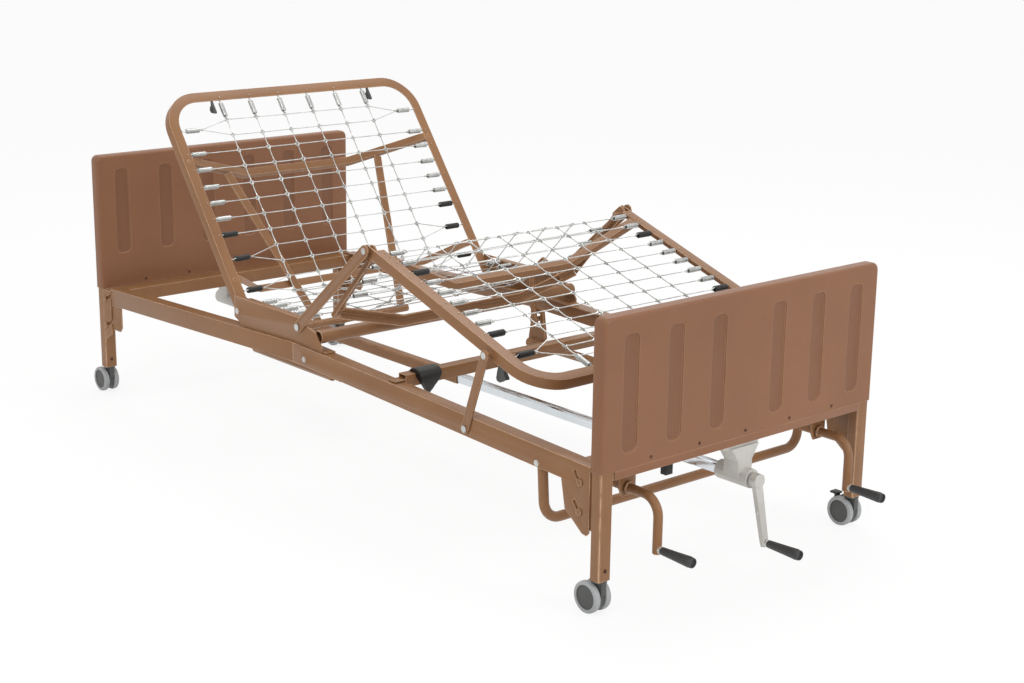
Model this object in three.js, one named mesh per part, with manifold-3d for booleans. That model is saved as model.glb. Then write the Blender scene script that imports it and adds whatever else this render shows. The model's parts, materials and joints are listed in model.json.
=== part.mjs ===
// Manual hospital bed with three cranks: hollow end panels on telescoping legs, angle-iron rails in two
// halves, and a spring deck whose back, thigh and calf sections tilt.
// Millimetres, +Z up, +X towards the foot end, -Y is the near side. The pose is the photographed one: lowest
// height, back raised, knees raised.
import * as THREE from "three";
import { mergeVertices } from "three/addons/utils/BufferGeometryUtils.js";
import Module from "manifold-3d";

const wasm = await Module();
wasm.setup();

// Overall sizes
const bedLength = 2235;
const panelWidth = 914;
const panelDepth = 38;
const panelBottom = 330;
const footPanelTop = 677;
const headPanelTop = 735;
const fit = 0.3;

// End panels
const panelCorner = 18;
const panelEdge = 8;
const pressedSheet = 1.2;
const recessDepth = 1.8;
const recessWidth = 47;
const recessCorner = 16;
const recessSideMargin = 58;
const recessTopMargin = 42;
const footRecessRise = 37;
const headRecessRise = 102;
const footRecessInner = 100;

// End frames and inner legs
const postAcross = 38;
const postWall = 2.2;
const postCorner = 4;
const postBottom = 81;
const postTop = 640;
const legSlide = 0.4;
const legWall = 2;
const legPlug = 40;
const channelHeight = 19;
const channelWall = 2.5;
const topBarHeight = 12;
const yokeHeight = 24;
const yokeDepth = 18;
const yokeDrop = 28;
const heightTravel = 203;
const nutRadius = 15;
const nutHeight = 30;
const leadScrewRadius = 7;

// Gearboxes, cranks and drive shaft
const driveHeight = 232;
const barrelRadius = 23;
const barrelInner = 52;
const barrelOuter = 46;
const crankShaftRadius = 10;
const gearCavity = 20.4;
const bevelStart = 11;
const bevelLength = 8;
const flangeThickness = 6;
const flangeNear = 68;
const flangeFar = 51;
const shaftInnerSquare = 24.6;
const shaftOuterSquare = 30;
const shaftWall = 2;
const shaftSleeveEnd = 79;
const shaftOverlap = 180;
const hiLoArmDrop = 142;
const hiLoArmLean = 32;
const gripLength = 95;
const gripRadius = 14;
const gripPinRadius = 4.5;
const crankTubeRadius = 11;
const crankHeight = 249;
const crankArmOut = 19.5;
const crankArmDrop = 118;
const crankBend = 45;
const backCrankSide = 298;
const kneeCrankSide = 360;
const screwRadius = 7;
const pushTubeRadius = 13.5;
const crankTubeInner = 159;

// Casters
const wheelRadius = 37.5;
const wheelWidth = 16;
const casterTrail = 22;
const casterWeb = 15;
const stemRadius = 5.5;
const stemLength = 30;
const axleRadius = 4;
const pedalPinRadius = 2;

// Side rails
const railSheet = 3;
const railHeight = 51;
const railFlange = 38;
const railInset = 6;
const railEndGap = 3.5;
const kinkX = -62;
const kinkTop = 377;
const headRailSlope = THREE.MathUtils.degToRad(2.34);
const footRailSlope = THREE.MathUtils.degToRad(2.0);
const spliceReach = 212;
const endPlateSheet = 3.2;
const rivetRadius = 4.8;
const upperRivet = 300;
const lowerRivet = 219;

// Deck cross members
const crossAngleWidth = 60;
const crossAngleHeight = 38;
const centreTubeRadius = 17.5;
const centreTubeX = 42;
const centreTubeHeight = 411;
const kneeMemberX = 355;
const kneeMemberTop = 378;
const kneeMemberSection = 30;
const bowTubeRadius = 12.5;
const bowX = 903.5;
const bowBottom = 165;
const bowTop = 316;
const bowBoltHeight = 302;
const bowBend = 45;

// Seat plates and pivots
const seatSheet = 4;
const seatHeadEnd = -352;
const seatFootEnd = -17;
const backPivotX = -335;
const backPivotHeight = 407;
const thighPivotX = -41;
const thighPivotHeight = 422;
const seatTop = thighPivotHeight + 25;
const pivotRadius = 6;
const boltHead = 9;
const boltHeadThick = 3;

// Tilting sections, in their own flat frames
const backAngle = THREE.MathUtils.degToRad(53.2);
const thighAngle = THREE.MathUtils.degToRad(40.5);
const calfAngle = THREE.MathUtils.degToRad(18.35);
const sectionRise = 10;
const ironSheet = 3;
const ironFlange = 30;
const ironDepth = 28;
const backLength = 672;
const backCorner = 110;
const backStiffenerAlong = 448;
const calfLength = 665;
const calfCorner = 100;
const thighLength = 390;
const thighIronDepth = 13;
const linkBarWidth = 30;
const linkBarSheet = 4.5;
const calfBoltAlong = 494;
const calfBoltBelow = 10;
const footLinkX = 653;
const footLinkHeight = 320;
const leverAhead = 47;
const leverBelow = 90;
const leverBarRadius = 11;
const kneePinX = -15;
const kneePinHeight = 323;
const kneePinRadius = 8;

// Wire nets and springs
const netWire = 2.4;
const netBelow = 3;
const strandPitch = 100;
const strandCount = 6;
const springRadius = 7;
const springLength = 42;
const coilWire = 3.6;
const coilCurls = 4;
const coilSteps = 8;
const coilSides = 5;
const coilTurnsLength = 30;

// Places that follow from the sizes above
const halfWidth = panelWidth / 2;
const panelWall = pressedSheet + recessDepth;
const endCentreX = bedLength / 2 - panelDepth / 2;
const postAlong = panelDepth - 2 * panelWall - 2 * fit;
const postCentreY = halfWidth - panelWall - fit - postAcross / 2;
const channelTop = panelBottom - fit;
const channelBottom = channelTop - channelHeight;
const yokeTop = postTop - yokeDrop;
const railFace = halfWidth - railInset;
const railInner = railFace - railSheet;
const railEnd = bedLength / 2 - panelDepth - railEndGap;
const linkInner = railFace + 0.7;
const linkOuter = linkInner + linkBarSheet;
const thighBarOuter = railFace;
const thighBarInner = thighBarOuter - linkBarSheet;
const seatOuter = thighBarInner - 0.6;
const seatInner = seatOuter - seatSheet;
const backHalf = seatInner - 1.9;
const calfHalf = backHalf - 3;
const thighHalf = calfHalf - 13;
const crossAngleEnd = railInner - endPlateSheet - 2 * fit - 0.4;
const crossAngleTop = kinkTop - (railEnd - kinkX) * Math.tan(footRailSlope) - railSheet - fit;
const armX = endCentreX + panelDepth / 2 + crankArmOut;
const gripStart = armX + 15;
const hiLoHubX = endCentreX + barrelOuter + 14;
const hiLoArmX = hiLoHubX + hiLoArmLean;
const hiLoGripStart = hiLoArmX + 13;
const hiLoGripEnd = hiLoGripStart + gripLength;
const strandReach = ((strandCount - 1) * strandPitch) / 2;
const pedalReach = casterTrail + 40;
const centreShift = -(hiLoGripEnd - (endCentreX + pedalReach)) / 2;

// Finishes: colour, roughness, metalness
const brownEnamel = [0x8f6048, 0.45, 0.2];
const panelEnamel = [0x93604c, 0.5, 0.15];
const zinc = [0xb9bdc0, 0.35, 0.9];
const chrome = [0xd6dade, 0.15, 1];
const castAluminium = [0xb4b1aa, 0.5, 0.7];
const blackRubber = [0x1d1d1f, 0.7, 0];
const blackPlastic = [0x222224, 0.5, 0];
const casterPlastic = [0x3c3f40, 0.5, 0];
const greyTyre = [0xb7babb, 0.6, 0];

// The default direction of a piece that stands up
const upward = new THREE.Vector3(0, 0, 1);

function vector([x, y, z]) {
  return new THREE.Vector3(x, y, z);
}

// A closed geometry as a solid, with its faces turned outwards.
function solidOf(geometry) {
  const bare = new THREE.BufferGeometry();
  bare.setAttribute("position", geometry.getAttribute("position"));
  if (geometry.index) bare.setIndex(geometry.index);
  const merged = mergeVertices(bare, 1e-4);
  const triVerts = new Uint32Array(merged.index.array);
  const vertProperties = new Float32Array(merged.getAttribute("position").array);
  const solid = new wasm.Manifold(new wasm.Mesh({ numProp: 3, vertProperties, triVerts }));
  if (solid.volume() > 0) return solid;
  for (let i = 0; i < triVerts.length; i += 3) {
    [triVerts[i + 1], triVerts[i + 2]] = [triVerts[i + 2], triVerts[i + 1]];
  }
  return new wasm.Manifold(new wasm.Mesh({ numProp: 3, vertProperties, triVerts }));
}

function geometryOf(solid) {
  const mesh = solid.asOriginal().simplify().getMesh();
  const shared = new THREE.BufferGeometry();
  shared.setAttribute("position", new THREE.BufferAttribute(mesh.vertProperties, mesh.numProp));
  shared.setIndex(new THREE.BufferAttribute(mesh.triVerts, 1));
  const faceted = shared.toNonIndexed();
  faceted.computeVertexNormals();
  return faceted;
}

function join(first, ...others) {
  return others.reduce((whole, piece) => whole.add(piece), first);
}

function cut(body, ...tools) {
  return tools.reduce((whole, tool) => whole.subtract(tool), body);
}

function box(x0, x1, y0, y1, z0, z1) {
  const geometry = new THREE.BoxGeometry(x1 - x0, y1 - y0, z1 - z0);
  geometry.translate((x0 + x1) / 2, (y0 + y1) / 2, (z0 + z1) / 2);
  return solidOf(geometry);
}

// A round bar from one point to another, tapered where two radii are given.
function rod(from, to, radius, sides = 8, endRadius = radius) {
  const start = vector(from);
  const end = vector(to);
  const direction = end.clone().sub(start);
  const geometry = new THREE.CylinderGeometry(endRadius, radius, direction.length(), sides);
  const turn = new THREE.Quaternion().setFromUnitVectors(
    new THREE.Vector3(0, 1, 0),
    direction.normalize(),
  );
  geometry.applyQuaternion(turn);
  const middle = start.add(end).multiplyScalar(0.5);
  geometry.translate(middle.x, middle.y, middle.z);
  return solidOf(geometry);
}

function polygon(points) {
  return new THREE.Shape(points.map(([x, y]) => new THREE.Vector2(x, y)));
}

// A rectangle with each corner rounded in so many straight steps
function roundedRectangle(x0, y0, x1, y1, radius, steps = 1) {
  const corners = [
    [x1 - radius, y1 - radius],
    [x0 + radius, y1 - radius],
    [x0 + radius, y0 + radius],
    [x1 - radius, y0 + radius],
  ];
  const points = corners.flatMap(([x, y], quarter) =>
    Array.from({ length: steps + 1 }, (_, k) => {
      const angle = ((quarter + k / steps) * Math.PI) / 2;
      return [x + radius * Math.cos(angle), y + radius * Math.sin(angle)];
    }),
  );
  return polygon(points);
}

// An outline in Y and Z, thick along X.
function slabX(shape, x0, x1) {
  const geometry = new THREE.ExtrudeGeometry(shape, { depth: x1 - x0, bevelEnabled: false });
  const turn = new THREE.Matrix4().makeBasis(
    new THREE.Vector3(0, 1, 0),
    new THREE.Vector3(0, 0, 1),
    new THREE.Vector3(1, 0, 0),
  );
  geometry.applyMatrix4(turn);
  geometry.translate(x0, 0, 0);
  return solidOf(geometry);
}

// An outline in X and Z, thick along Y.
function slabY(shape, y0, y1) {
  const geometry = new THREE.ExtrudeGeometry(shape, { depth: y1 - y0, bevelEnabled: false });
  geometry.rotateX(Math.PI / 2);
  geometry.translate(0, y1, 0);
  return solidOf(geometry);
}

// An outline in X and Y, thick along Z.
function slabZ(shape, z0, z1) {
  const geometry = new THREE.ExtrudeGeometry(shape, { depth: z1 - z0, bevelEnabled: false });
  geometry.translate(0, 0, z0);
  return solidOf(geometry);
}

// A path of straight runs whose section is mitred at each corner and keeps its top towards one direction.
class MitredPath extends THREE.Curve {
  constructor(points, up) {
    super();
    this.points = points;
    this.up = up;
  }

  getPoint(t) {
    const place = t * (this.points.length - 1);
    const before = Math.min(Math.floor(place), this.points.length - 2);
    return this.points[before].clone().lerp(this.points[before + 1], place - before);
  }

  getSpacedPoints() {
    return this.points.map((point) => point.clone());
  }

  computeFrenetFrames() {
    const tangents = [];
    const normals = [];
    const binormals = [];
    const last = this.points.length - 1;
    this.points.forEach((point, i) => {
      const before = this.points[Math.max(i - 1, 0)];
      const after = this.points[Math.min(i + 1, last)];
      const arriving = i > 0 ? point.clone().sub(before) : after.clone().sub(point);
      const leaving = i < last ? after.clone().sub(point) : point.clone().sub(before);
      arriving.normalize();
      leaving.normalize();
      const mitre = arriving.clone().add(leaving).normalize();
      const side = this.up.clone().cross(arriving).normalize();
      const top = arriving.clone().cross(side);
      for (const axis of [side, top]) {
        axis.addScaledVector(arriving, -axis.dot(mitre) / arriving.dot(mitre));
      }
      tangents.push(mitre);
      normals.push(side);
      binormals.push(top);
    });
    return { tangents, normals, binormals };
  }
}

// The points of a path with each inner corner replaced by an arc.
function roundCorners(points, radius, steps) {
  const rounded = [points[0].clone()];
  for (let i = 1; i < points.length - 1; i++) {
    const back = points[i - 1].clone().sub(points[i]).normalize();
    const ahead = points[i + 1].clone().sub(points[i]).normalize();
    const half = back.angleTo(ahead) / 2;
    const turn = Math.PI - 2 * half;
    const start = points[i].clone().addScaledVector(back, radius / Math.tan(half));
    const end = points[i].clone().addScaledVector(ahead, radius / Math.tan(half));
    const inward = back.clone().add(ahead).normalize();
    const centre = points[i].clone().addScaledVector(inward, radius / Math.sin(half));
    const fromCentre = start.sub(centre);
    const toCentre = end.sub(centre);
    for (let k = 0; k <= steps; k++) {
      const swept = (turn * k) / steps;
      rounded.push(
        centre
          .clone()
          .addScaledVector(fromCentre, Math.sin(turn - swept) / Math.sin(turn))
          .addScaledVector(toCentre, Math.sin(swept) / Math.sin(turn)),
      );
    }
  }
  rounded.push(points[points.length - 1].clone());
  return rounded;
}

// A section carried along a path. Section x is to the left of the way the path runs, section y is up.
function sweep(shape, points, up = upward) {
  const path = new MitredPath(points, up);
  const geometry = new THREE.ExtrudeGeometry(shape, {
    steps: points.length - 1,
    extrudePath: path,
  });
  return solidOf(geometry);
}

function roundSection(radius, sides) {
  const points = [];
  for (let i = 0; i < sides; i++) {
    const angle = (2 * Math.PI * (i + 0.5)) / sides;
    points.push([radius * Math.cos(angle), radius * Math.sin(angle)]);
  }
  return polygon(points);
}

// An angle-iron section: a top flange to the left for a positive width, and a flange hanging from the path.
function angleSection(width, depth, sheet) {
  const inward = Math.sign(width) * sheet;
  return polygon([
    [0, 0],
    [0, -depth],
    [inward, -depth],
    [inward, -sheet],
    [width, -sheet],
    [width, 0],
  ]);
}

function addPart(group, name, solid, [color, roughness, metalness]) {
  const material = new THREE.MeshStandardMaterial({ color, roughness, metalness });
  const mesh = new THREE.Mesh(geometryOf(solid), material);
  mesh.name = name;
  group.add(mesh);
  return mesh;
}

// The far-side copy of a near-side piece
function addMirrored(group, name, solid, finish) {
  const mesh = addPart(group, name, solid, finish);
  mesh.scale.set(1, -1, 1);
  return mesh;
}

function bothSides(makePiece) {
  return [-1, 1].map((side) => makePiece(side));
}

// End panel: a hollow pressed shell, open below, with six recesses on each face
function panelShell(top, recessBottom, recessCentres) {
  const outline = roundedRectangle(-halfWidth, panelBottom, halfWidth, top, panelCorner, 2);
  const geometry = new THREE.ExtrudeGeometry(outline, {
    depth: panelDepth - 2 * panelEdge,
    bevelThickness: panelEdge,
    bevelSize: panelEdge,
    bevelOffset: -panelEdge,
    bevelSegments: 2,
  });
  geometry.translate(0, 0, -panelDepth / 2 + panelEdge);
  geometry.applyMatrix4(
    new THREE.Matrix4().makeBasis(
      new THREE.Vector3(0, 1, 0),
      new THREE.Vector3(0, 0, 1),
      new THREE.Vector3(1, 0, 0),
    ),
  );
  const innerDepth = panelDepth / 2 - panelWall;
  const innerWidth = halfWidth - panelWall;
  const cavity = box(-innerDepth, innerDepth, -innerWidth, innerWidth, panelBottom - 1, top - panelWall);
  const recesses = recessCentres.flatMap((centre) => {
    const recess = roundedRectangle(
      centre - recessWidth / 2,
      recessBottom,
      centre + recessWidth / 2,
      top - recessTopMargin,
      recessCorner,
    );
    const face = panelDepth / 2;
    return [slabX(recess, face - recessDepth, face + 1), slabX(recess, -face - 1, -face + recessDepth)];
  });
  return cut(solidOf(geometry), cavity, ...recesses);
}

function recessRow(inner, outer) {
  const middle = (inner + outer) / 2;
  return [-outer, -middle, -inner, inner, middle, outer];
}

// A square-cornered tube outline with its bore
function tubeOutline(along, across, wall, corner) {
  const outline = roundedRectangle(-along / 2, -across / 2, along / 2, across / 2, corner);
  const [innerAlong, innerAcross] = [along / 2 - wall, across / 2 - wall];
  const inner = [
    [-innerAlong, -innerAcross],
    [innerAlong, -innerAcross],
    [innerAlong, innerAcross],
    [-innerAlong, innerAcross],
  ];
  outline.holes.push(polygon(inner));
  return outline;
}

// End frame: two posts, the channel that carries the panel and gearbox, and the screw's top bar. The inner
// walls of the posts are slotted for the yoke. X is counted outwards from the middle of the posts.
function endFrame(lockPieces) {
  const posts = bothSides((side) => {
    const tube = slabZ(tubeOutline(postAlong, postAcross, postWall, postCorner), postBottom, postTop);
    return tube.translate(0, side * postCentreY, 0);
  });
  const reach = postCentreY - postAcross / 2 + 1;
  const depth = postAlong / 2;
  const channel = cut(
    box(-depth, depth, -reach, reach, channelBottom, channelTop),
    box(
      -depth + channelWall,
      depth - channelWall,
      -reach + 2,
      reach - 2,
      channelBottom - 1,
      channelTop - channelWall,
    ),
  );
  const topBar = box(-depth / 2, depth / 2, -reach, reach, postTop - topBarHeight, postTop);
  const screwHole = rod(
    [0, 0, channelBottom - 1],
    [0, 0, postTop - 2],
    leadScrewRadius + 1,
      10,
  );
  const slotHalf = yokeDepth / 2 + 1;
  const slots = bothSides((side) => {
    const wallMiddle = side * (postCentreY - postAcross / 2 + postWall / 2);
    return box(
      -slotHalf,
      slotHalf,
      wallMiddle - postWall,
      wallMiddle + postWall / 2 + 1,
      yokeTop - yokeHeight - heightTravel - 4,
      postTop - topBarHeight - 2,
    );
  });
  const frame = cut(join(posts[0], posts[1], channel, topBar), screwHole, ...slots);
  return join(frame, ...lockPieces);
}

// Head lock: a plate on each post's outer side, with two notches that the rail's rivets drop into
function headLockPlates() {
  const inner = postAlong / 2 - 0.5;
  const outer = endCentreX - railEnd + 36;
  return bothSides((side) => {
    const outline = polygon([
      [-inner, channelTop],
      [-outer, channelTop],
      [-outer, lowerRivet - 22],
      [-inner, lowerRivet - 50],
    ]);
    const y = side * (railInner + 3.2);
    const plate = slabY(outline, y - 1.7, y + 1.7);
    const notches = [upperRivet, lowerRivet].map((height) => {
      const seat = [-(endCentreX - railEnd) - 4, y, height];
      const mouth = [-outer - 4, y, height + 16];
      return join(
        slabY(barOutline([seat[0], seat[2]], [mouth[0], mouth[2]], 2 * rivetRadius + 1.2), y - 3, y + 3),
        rod([seat[0], y - 3, seat[2]], [seat[0], y + 3, seat[2]], rivetRadius + 0.6, 8),
      );
    });
    return cut(plate, ...notches);
  });
}

// The outline of a straight bar between two points
function barOutline([x0, y0], [x1, y1], width) {
  const length = Math.hypot(x1 - x0, y1 - y0);
  const across = [(-(y1 - y0) / length) * (width / 2), ((x1 - x0) / length) * (width / 2)];
  return polygon([
    [x0 + across[0], y0 + across[1]],
    [x0 - across[0], y0 - across[1]],
    [x1 - across[0], y1 - across[1]],
    [x1 + across[0], y1 + across[1]],
  ]);
}

// Foot lock: a plate behind each rail's end plate, with two rivets through its slanted slots
const footSlots = [upperRivet - 5, lowerRivet + 7];
function footLockPlates() {
  const inner = postAlong / 2 - 0.5;
  return bothSides((side) => {
    const outline = polygon([
      [-inner, channelTop],
      [-inner - 65, channelTop],
      [-inner - 65, lowerRivet],
      [-inner, lowerRivet - 30],
    ]);
    const face = railInner - fit;
    const near = side < 0 ? -face : face - endPlateSheet;
    const plate = slabY(outline, near, near + endPlateSheet);
    const rivets = footSlots.map((height) => {
      const x = -(endCentreX - railEnd) - 32;
      return join(
        rod([x, side * (face - 1), height], [x, side * (railFace + 1), height], rivetRadius, 6),
        rod([x, side * (railFace + 0.5), height], [x, side * (railFace + 3), height], 9, 6),
      );
    });
    return join(plate, ...rivets);
  });
}

// Inner legs of one end: two tubes with a plug and stem hole below, tied by the yoke with the screw's nut
function innerLegs() {
  const along = postAlong - 2 * postWall - 2 * legSlide;
  const across = postAcross - 2 * postWall - 2 * legSlide;
  const legs = bothSides((side) => {
    const outline = roundedRectangle(-along / 2, -across / 2, along / 2, across / 2, postCorner - 1);
    const [innerAlong, innerAcross] = [along / 2 - legWall, across / 2 - legWall];
    const hollow = box(-innerAlong, innerAlong, -innerAcross, innerAcross, postBottom + legPlug, yokeTop + 1);
    const stemHole = rod(
      [0, 0, postBottom - 1],
      [0, 0, postBottom + stemLength + 2],
      stemRadius + fit + 0.3,
      8,
    );
    return cut(slabZ(outline, postBottom, yokeTop), hollow, stemHole).translate(0, side * postCentreY, 0);
  });
  const reach = postCentreY - across / 2 + 1;
  const yoke = box(-yokeDepth / 2, yokeDepth / 2, -reach, reach, yokeTop - yokeHeight, yokeTop);
  const nutBottom = yokeTop - yokeHeight - nutHeight;
  const nut = rod([0, 0, nutBottom], [0, 0, yokeTop - 1], nutRadius, 8);
  const bore = rod([0, 0, nutBottom - 1], [0, 0, yokeTop + 1], leadScrewRadius + 0.6, 10);
  return cut(join(legs[0], legs[1], yoke, nut), bore);
}

// Bevel gear with its point on the crossing of the two shafts
function bevelGear(direction, crossing) {
  const at = (distance) => crossing.map((value, i) => value + direction[i] * distance);
  const small = bevelStart - 0.6;
  return rod(at(bevelStart), at(bevelStart + bevelLength), small, 10, small + bevelLength);
}

function leadScrew() {
  const crossing = [0, 0, driveHeight];
  const screw = rod([0, 0, driveHeight + bevelStart + 1], [0, 0, postTop - 3], leadScrewRadius, 10);
  return join(screw, bevelGear([0, 0, 1], crossing));
}

// Gearbox casting: flange under the channel, neck and a barrel along the drive shaft
function gearbox() {
  const flangeTop = channelBottom - fit;
  const flangeBottom = flangeTop - flangeThickness;
  const flange = box(-15, 15, -flangeNear, flangeFar, flangeBottom, flangeTop);
  const neckOutline = polygon([
    [-flangeFar + 4, flangeBottom + 1],
    [-barrelRadius, flangeBottom - 34],
    [-barrelRadius, driveHeight],
    [barrelRadius, driveHeight],
    [barrelRadius, flangeBottom - 34],
    [flangeFar - 6, flangeBottom + 1],
  ]);
  const neck = slabX(neckOutline, -barrelRadius, barrelRadius);
  const barrel = rod([-barrelInner, 0, driveHeight], [barrelOuter, 0, driveHeight], barrelRadius, 14);
  const shaftBore = rod(
    [-barrelInner - 1, 0, driveHeight],
    [barrelOuter + 1, 0, driveHeight],
    crankShaftRadius + 0.7,
    12,
  );
  const gearRoom = rod([-bevelStart - 8, 0, driveHeight], [bevelStart + 9, 0, driveHeight], gearCavity, 8);
  const screwRoom = rod([0, 0, driveHeight], [0, 0, driveHeight + bevelStart + 9], gearCavity, 8);
  const screwBore = rod([0, 0, driveHeight], [0, 0, flangeTop + 1], leadScrewRadius + 0.7, 10);
  return cut(join(flange, neck, barrel), shaftBore, gearRoom, screwRoom, screwBore);
}

function squareTube(x0, x1, size, wall, height) {
  const half = size / 2;
  const inner = half - wall;
  const outside = roundedRectangle(-half, height - half, half, height + half, 3);
  outside.holes.push(roundedRectangle(-inner, height - inner, inner, height + inner, 1.5));
  return slabX(outside, x0, x1);
}

// Inner part of the telescoping drive shaft, between the sleeve and the foot gearbox
function driveShaftInner() {
  const footEnd = endCentreX - barrelInner - 0.5;
  return squareTube(shaftSleeveEnd - shaftOverlap, footEnd, shaftInnerSquare, shaftWall, driveHeight);
}

// Sleeve of the drive shaft, with the stub and bevel gear that turn in the head gearbox
function driveShaftOuter() {
  const headEnd = -endCentreX + barrelInner + 0.5;
  const sleeve = squareTube(headEnd, shaftSleeveEnd, shaftOuterSquare, shaftWall, driveHeight);
  const cap = box(
    headEnd,
    headEnd + 12,
    -shaftOuterSquare / 2 + 1,
    shaftOuterSquare / 2 - 1,
    driveHeight - shaftOuterSquare / 2 + 1,
    driveHeight + shaftOuterSquare / 2 - 1,
  );
  const stub = rod(
    [headEnd + 1, 0, driveHeight],
    [-endCentreX - barrelOuter + 6, 0, driveHeight],
    crankShaftRadius,
    10,
  );
  return join(sleeve, cap, stub, bevelGear([-1, 0, 0], [-endCentreX, 0, driveHeight]));
}

// Height crank: shaft through the foot gearbox into the drive shaft, cast arm leaning outwards, grip pin
function heightCrank() {
  const shaft = rod(
    [endCentreX - barrelInner - 30, 0, driveHeight],
    [hiLoHubX, 0, driveHeight],
    crankShaftRadius,
    10,
  );
  const hub = rod([hiLoHubX - 12, 0, driveHeight], [hiLoHubX + 12, 0, driveHeight], 17, 10);
  const armEnd = driveHeight - hiLoArmDrop;
  const arm = slabX(
    polygon([
      [-15, hiLoArmDrop + 8],
      [-10, -12],
      [10, -12],
      [15, hiLoArmDrop + 8],
    ]),
    -8,
    8,
  );
  const lean = Math.atan2(hiLoArmLean, hiLoArmDrop);
  const leaning = turnedAboutY(arm, lean, [hiLoArmX, 0, armEnd]);
  const pin = rod([hiLoArmX - 4, 0, armEnd], [hiLoGripEnd - 6, 0, armEnd], gripPinRadius, 8);
  const collar = rod([hiLoArmX + 5, 0, armEnd], [hiLoGripStart - 0.5, 0, armEnd], 9, 8);
  return join(shaft, hub, leaning, pin, collar, bevelGear([1, 0, 0], [endCentreX, 0, driveHeight]));
}

// A solid turned about the Y axis through its own origin and then moved
function turnedAboutY(solid, angle, [x, y, z]) {
  const geometry = geometryOf(solid);
  geometry.rotateY(-angle);
  geometry.translate(x, y, z);
  return solidOf(geometry);
}

// Black grip that turns freely on a crank's pin
function grip(x0, y, height) {
  const bore = gripPinRadius + 0.7;
  const profile = [
    [bore, 0],
    [gripRadius - 3, 0],
    [gripRadius, gripLength - 12],
    [gripRadius - 2, gripLength],
    [bore, gripLength],
    [bore, 0],
  ].map(([radius, along]) => new THREE.Vector2(radius, along));
  const geometry = new THREE.LatheGeometry(profile, 10);
  geometry.rotateZ(-Math.PI / 2);
  geometry.translate(x0, y, height);
  return solidOf(geometry);
}

// Outer crank: bent tube with two collars at the bearing bracket, and its grip pin
function outerCrank(y) {
  const bottom = crankHeight - crankArmDrop;
  const inner = endCentreX - crankTubeInner + 20;
  const path = [
    [inner, y, crankHeight],
    [armX, y, crankHeight],
    [armX, y, bottom - 12],
  ].map(vector);
  const sideways = new THREE.Vector3(0, 1, 0);
  const tube = sweep(roundSection(crankTubeRadius, 8), roundCorners(path, crankBend, 3), sideways);
  const collars = [-7.5, 7.5].map((offset) => {
    const x = bearingX() + offset;
    return rod([x - 2.5, y, crankHeight], [x + 2.5, y, crankHeight], crankTubeRadius + 4, 6);
  });
  const pin = rod([armX, y, bottom], [gripStart + gripLength - 6, y, bottom], gripPinRadius, 8);
  const collar = rod([armX + 8, y, bottom], [gripStart - 0.5, y, bottom], 9, 10);
  return join(tube, ...collars, pin, collar);
}

function bearingX() {
  return railEnd - crossAngleWidth + 20;
}

// Bracket that hangs from the foot cross angle and carries a crank's tube
function crankBearing(y) {
  const x = bearingX();
  const top = crossAngleTop - railSheet - fit;
  const plateOutline = polygon([
    [y - 26, top],
    [y - 26, crankHeight],
    [y - 16, crankHeight - 20],
    [y + 16, crankHeight - 20],
    [y + 26, crankHeight],
    [y + 26, top],
  ]);
  const plate = slabX(plateOutline, x - 2, x + 2);
  const tab = box(x - 2, x + 32, y - 26, y + 26, top - 3, top);
  const hole = rod([x - 4, y, crankHeight], [x + 4, y, crankHeight], crankTubeRadius + 1, 8);
  return cut(join(plate, tab), hole);
}

// Long screw that a crank turns
function screw(y, headEnd) {
  const footEnd = endCentreX - crankTubeInner + 20 - fit;
  return rod([headEnd, y, crankHeight], [footEnd, y, crankHeight], screwRadius, 8);
}

// Tube with its nut that travels along a screw, and the slotted plate that moves a section's lever
function travellingTube(y, x0, x1, plateSide, pinX, pinLow, pinHigh, pinHalf) {
  const outside = rod([x0, y, crankHeight], [x1, y, crankHeight], pushTubeRadius, 10);
  const bore = rod([x0 - 1, y, crankHeight], [x1 + 1, y, crankHeight], screwRadius + 0.7, 8);
  const plateTop = pinHigh + pinHalf + 14;
  const reach = pinHalf + 14;
  const outline = polygon([
    [pinX - reach, plateTop],
    [pinX - reach - 16, crankHeight + 4],
    [pinX - reach - 16, crankHeight - 8],
    [pinX + reach + 16, crankHeight - 8],
    [pinX + reach + 16, crankHeight + 4],
    [pinX + reach, plateTop],
  ]);
  const plate = slabY(outline, y + plateSide - 4, y + plateSide + 4);
  const slotOutline = polygon([
    [pinX - pinHalf - 3.5, pinLow - pinHalf - 0.6],
    [pinX + pinHalf + 3.5, pinLow - pinHalf - 0.6],
    [pinX + pinHalf + 3.5, pinHigh + pinHalf + 0.6],
    [pinX - pinHalf - 3.5, pinHigh + pinHalf + 0.6],
  ]);
  const slot = slabY(slotOutline, y + plateSide - 6, y + plateSide + 6);
  return cut(join(outside, plate), bore, slot);
}

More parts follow.
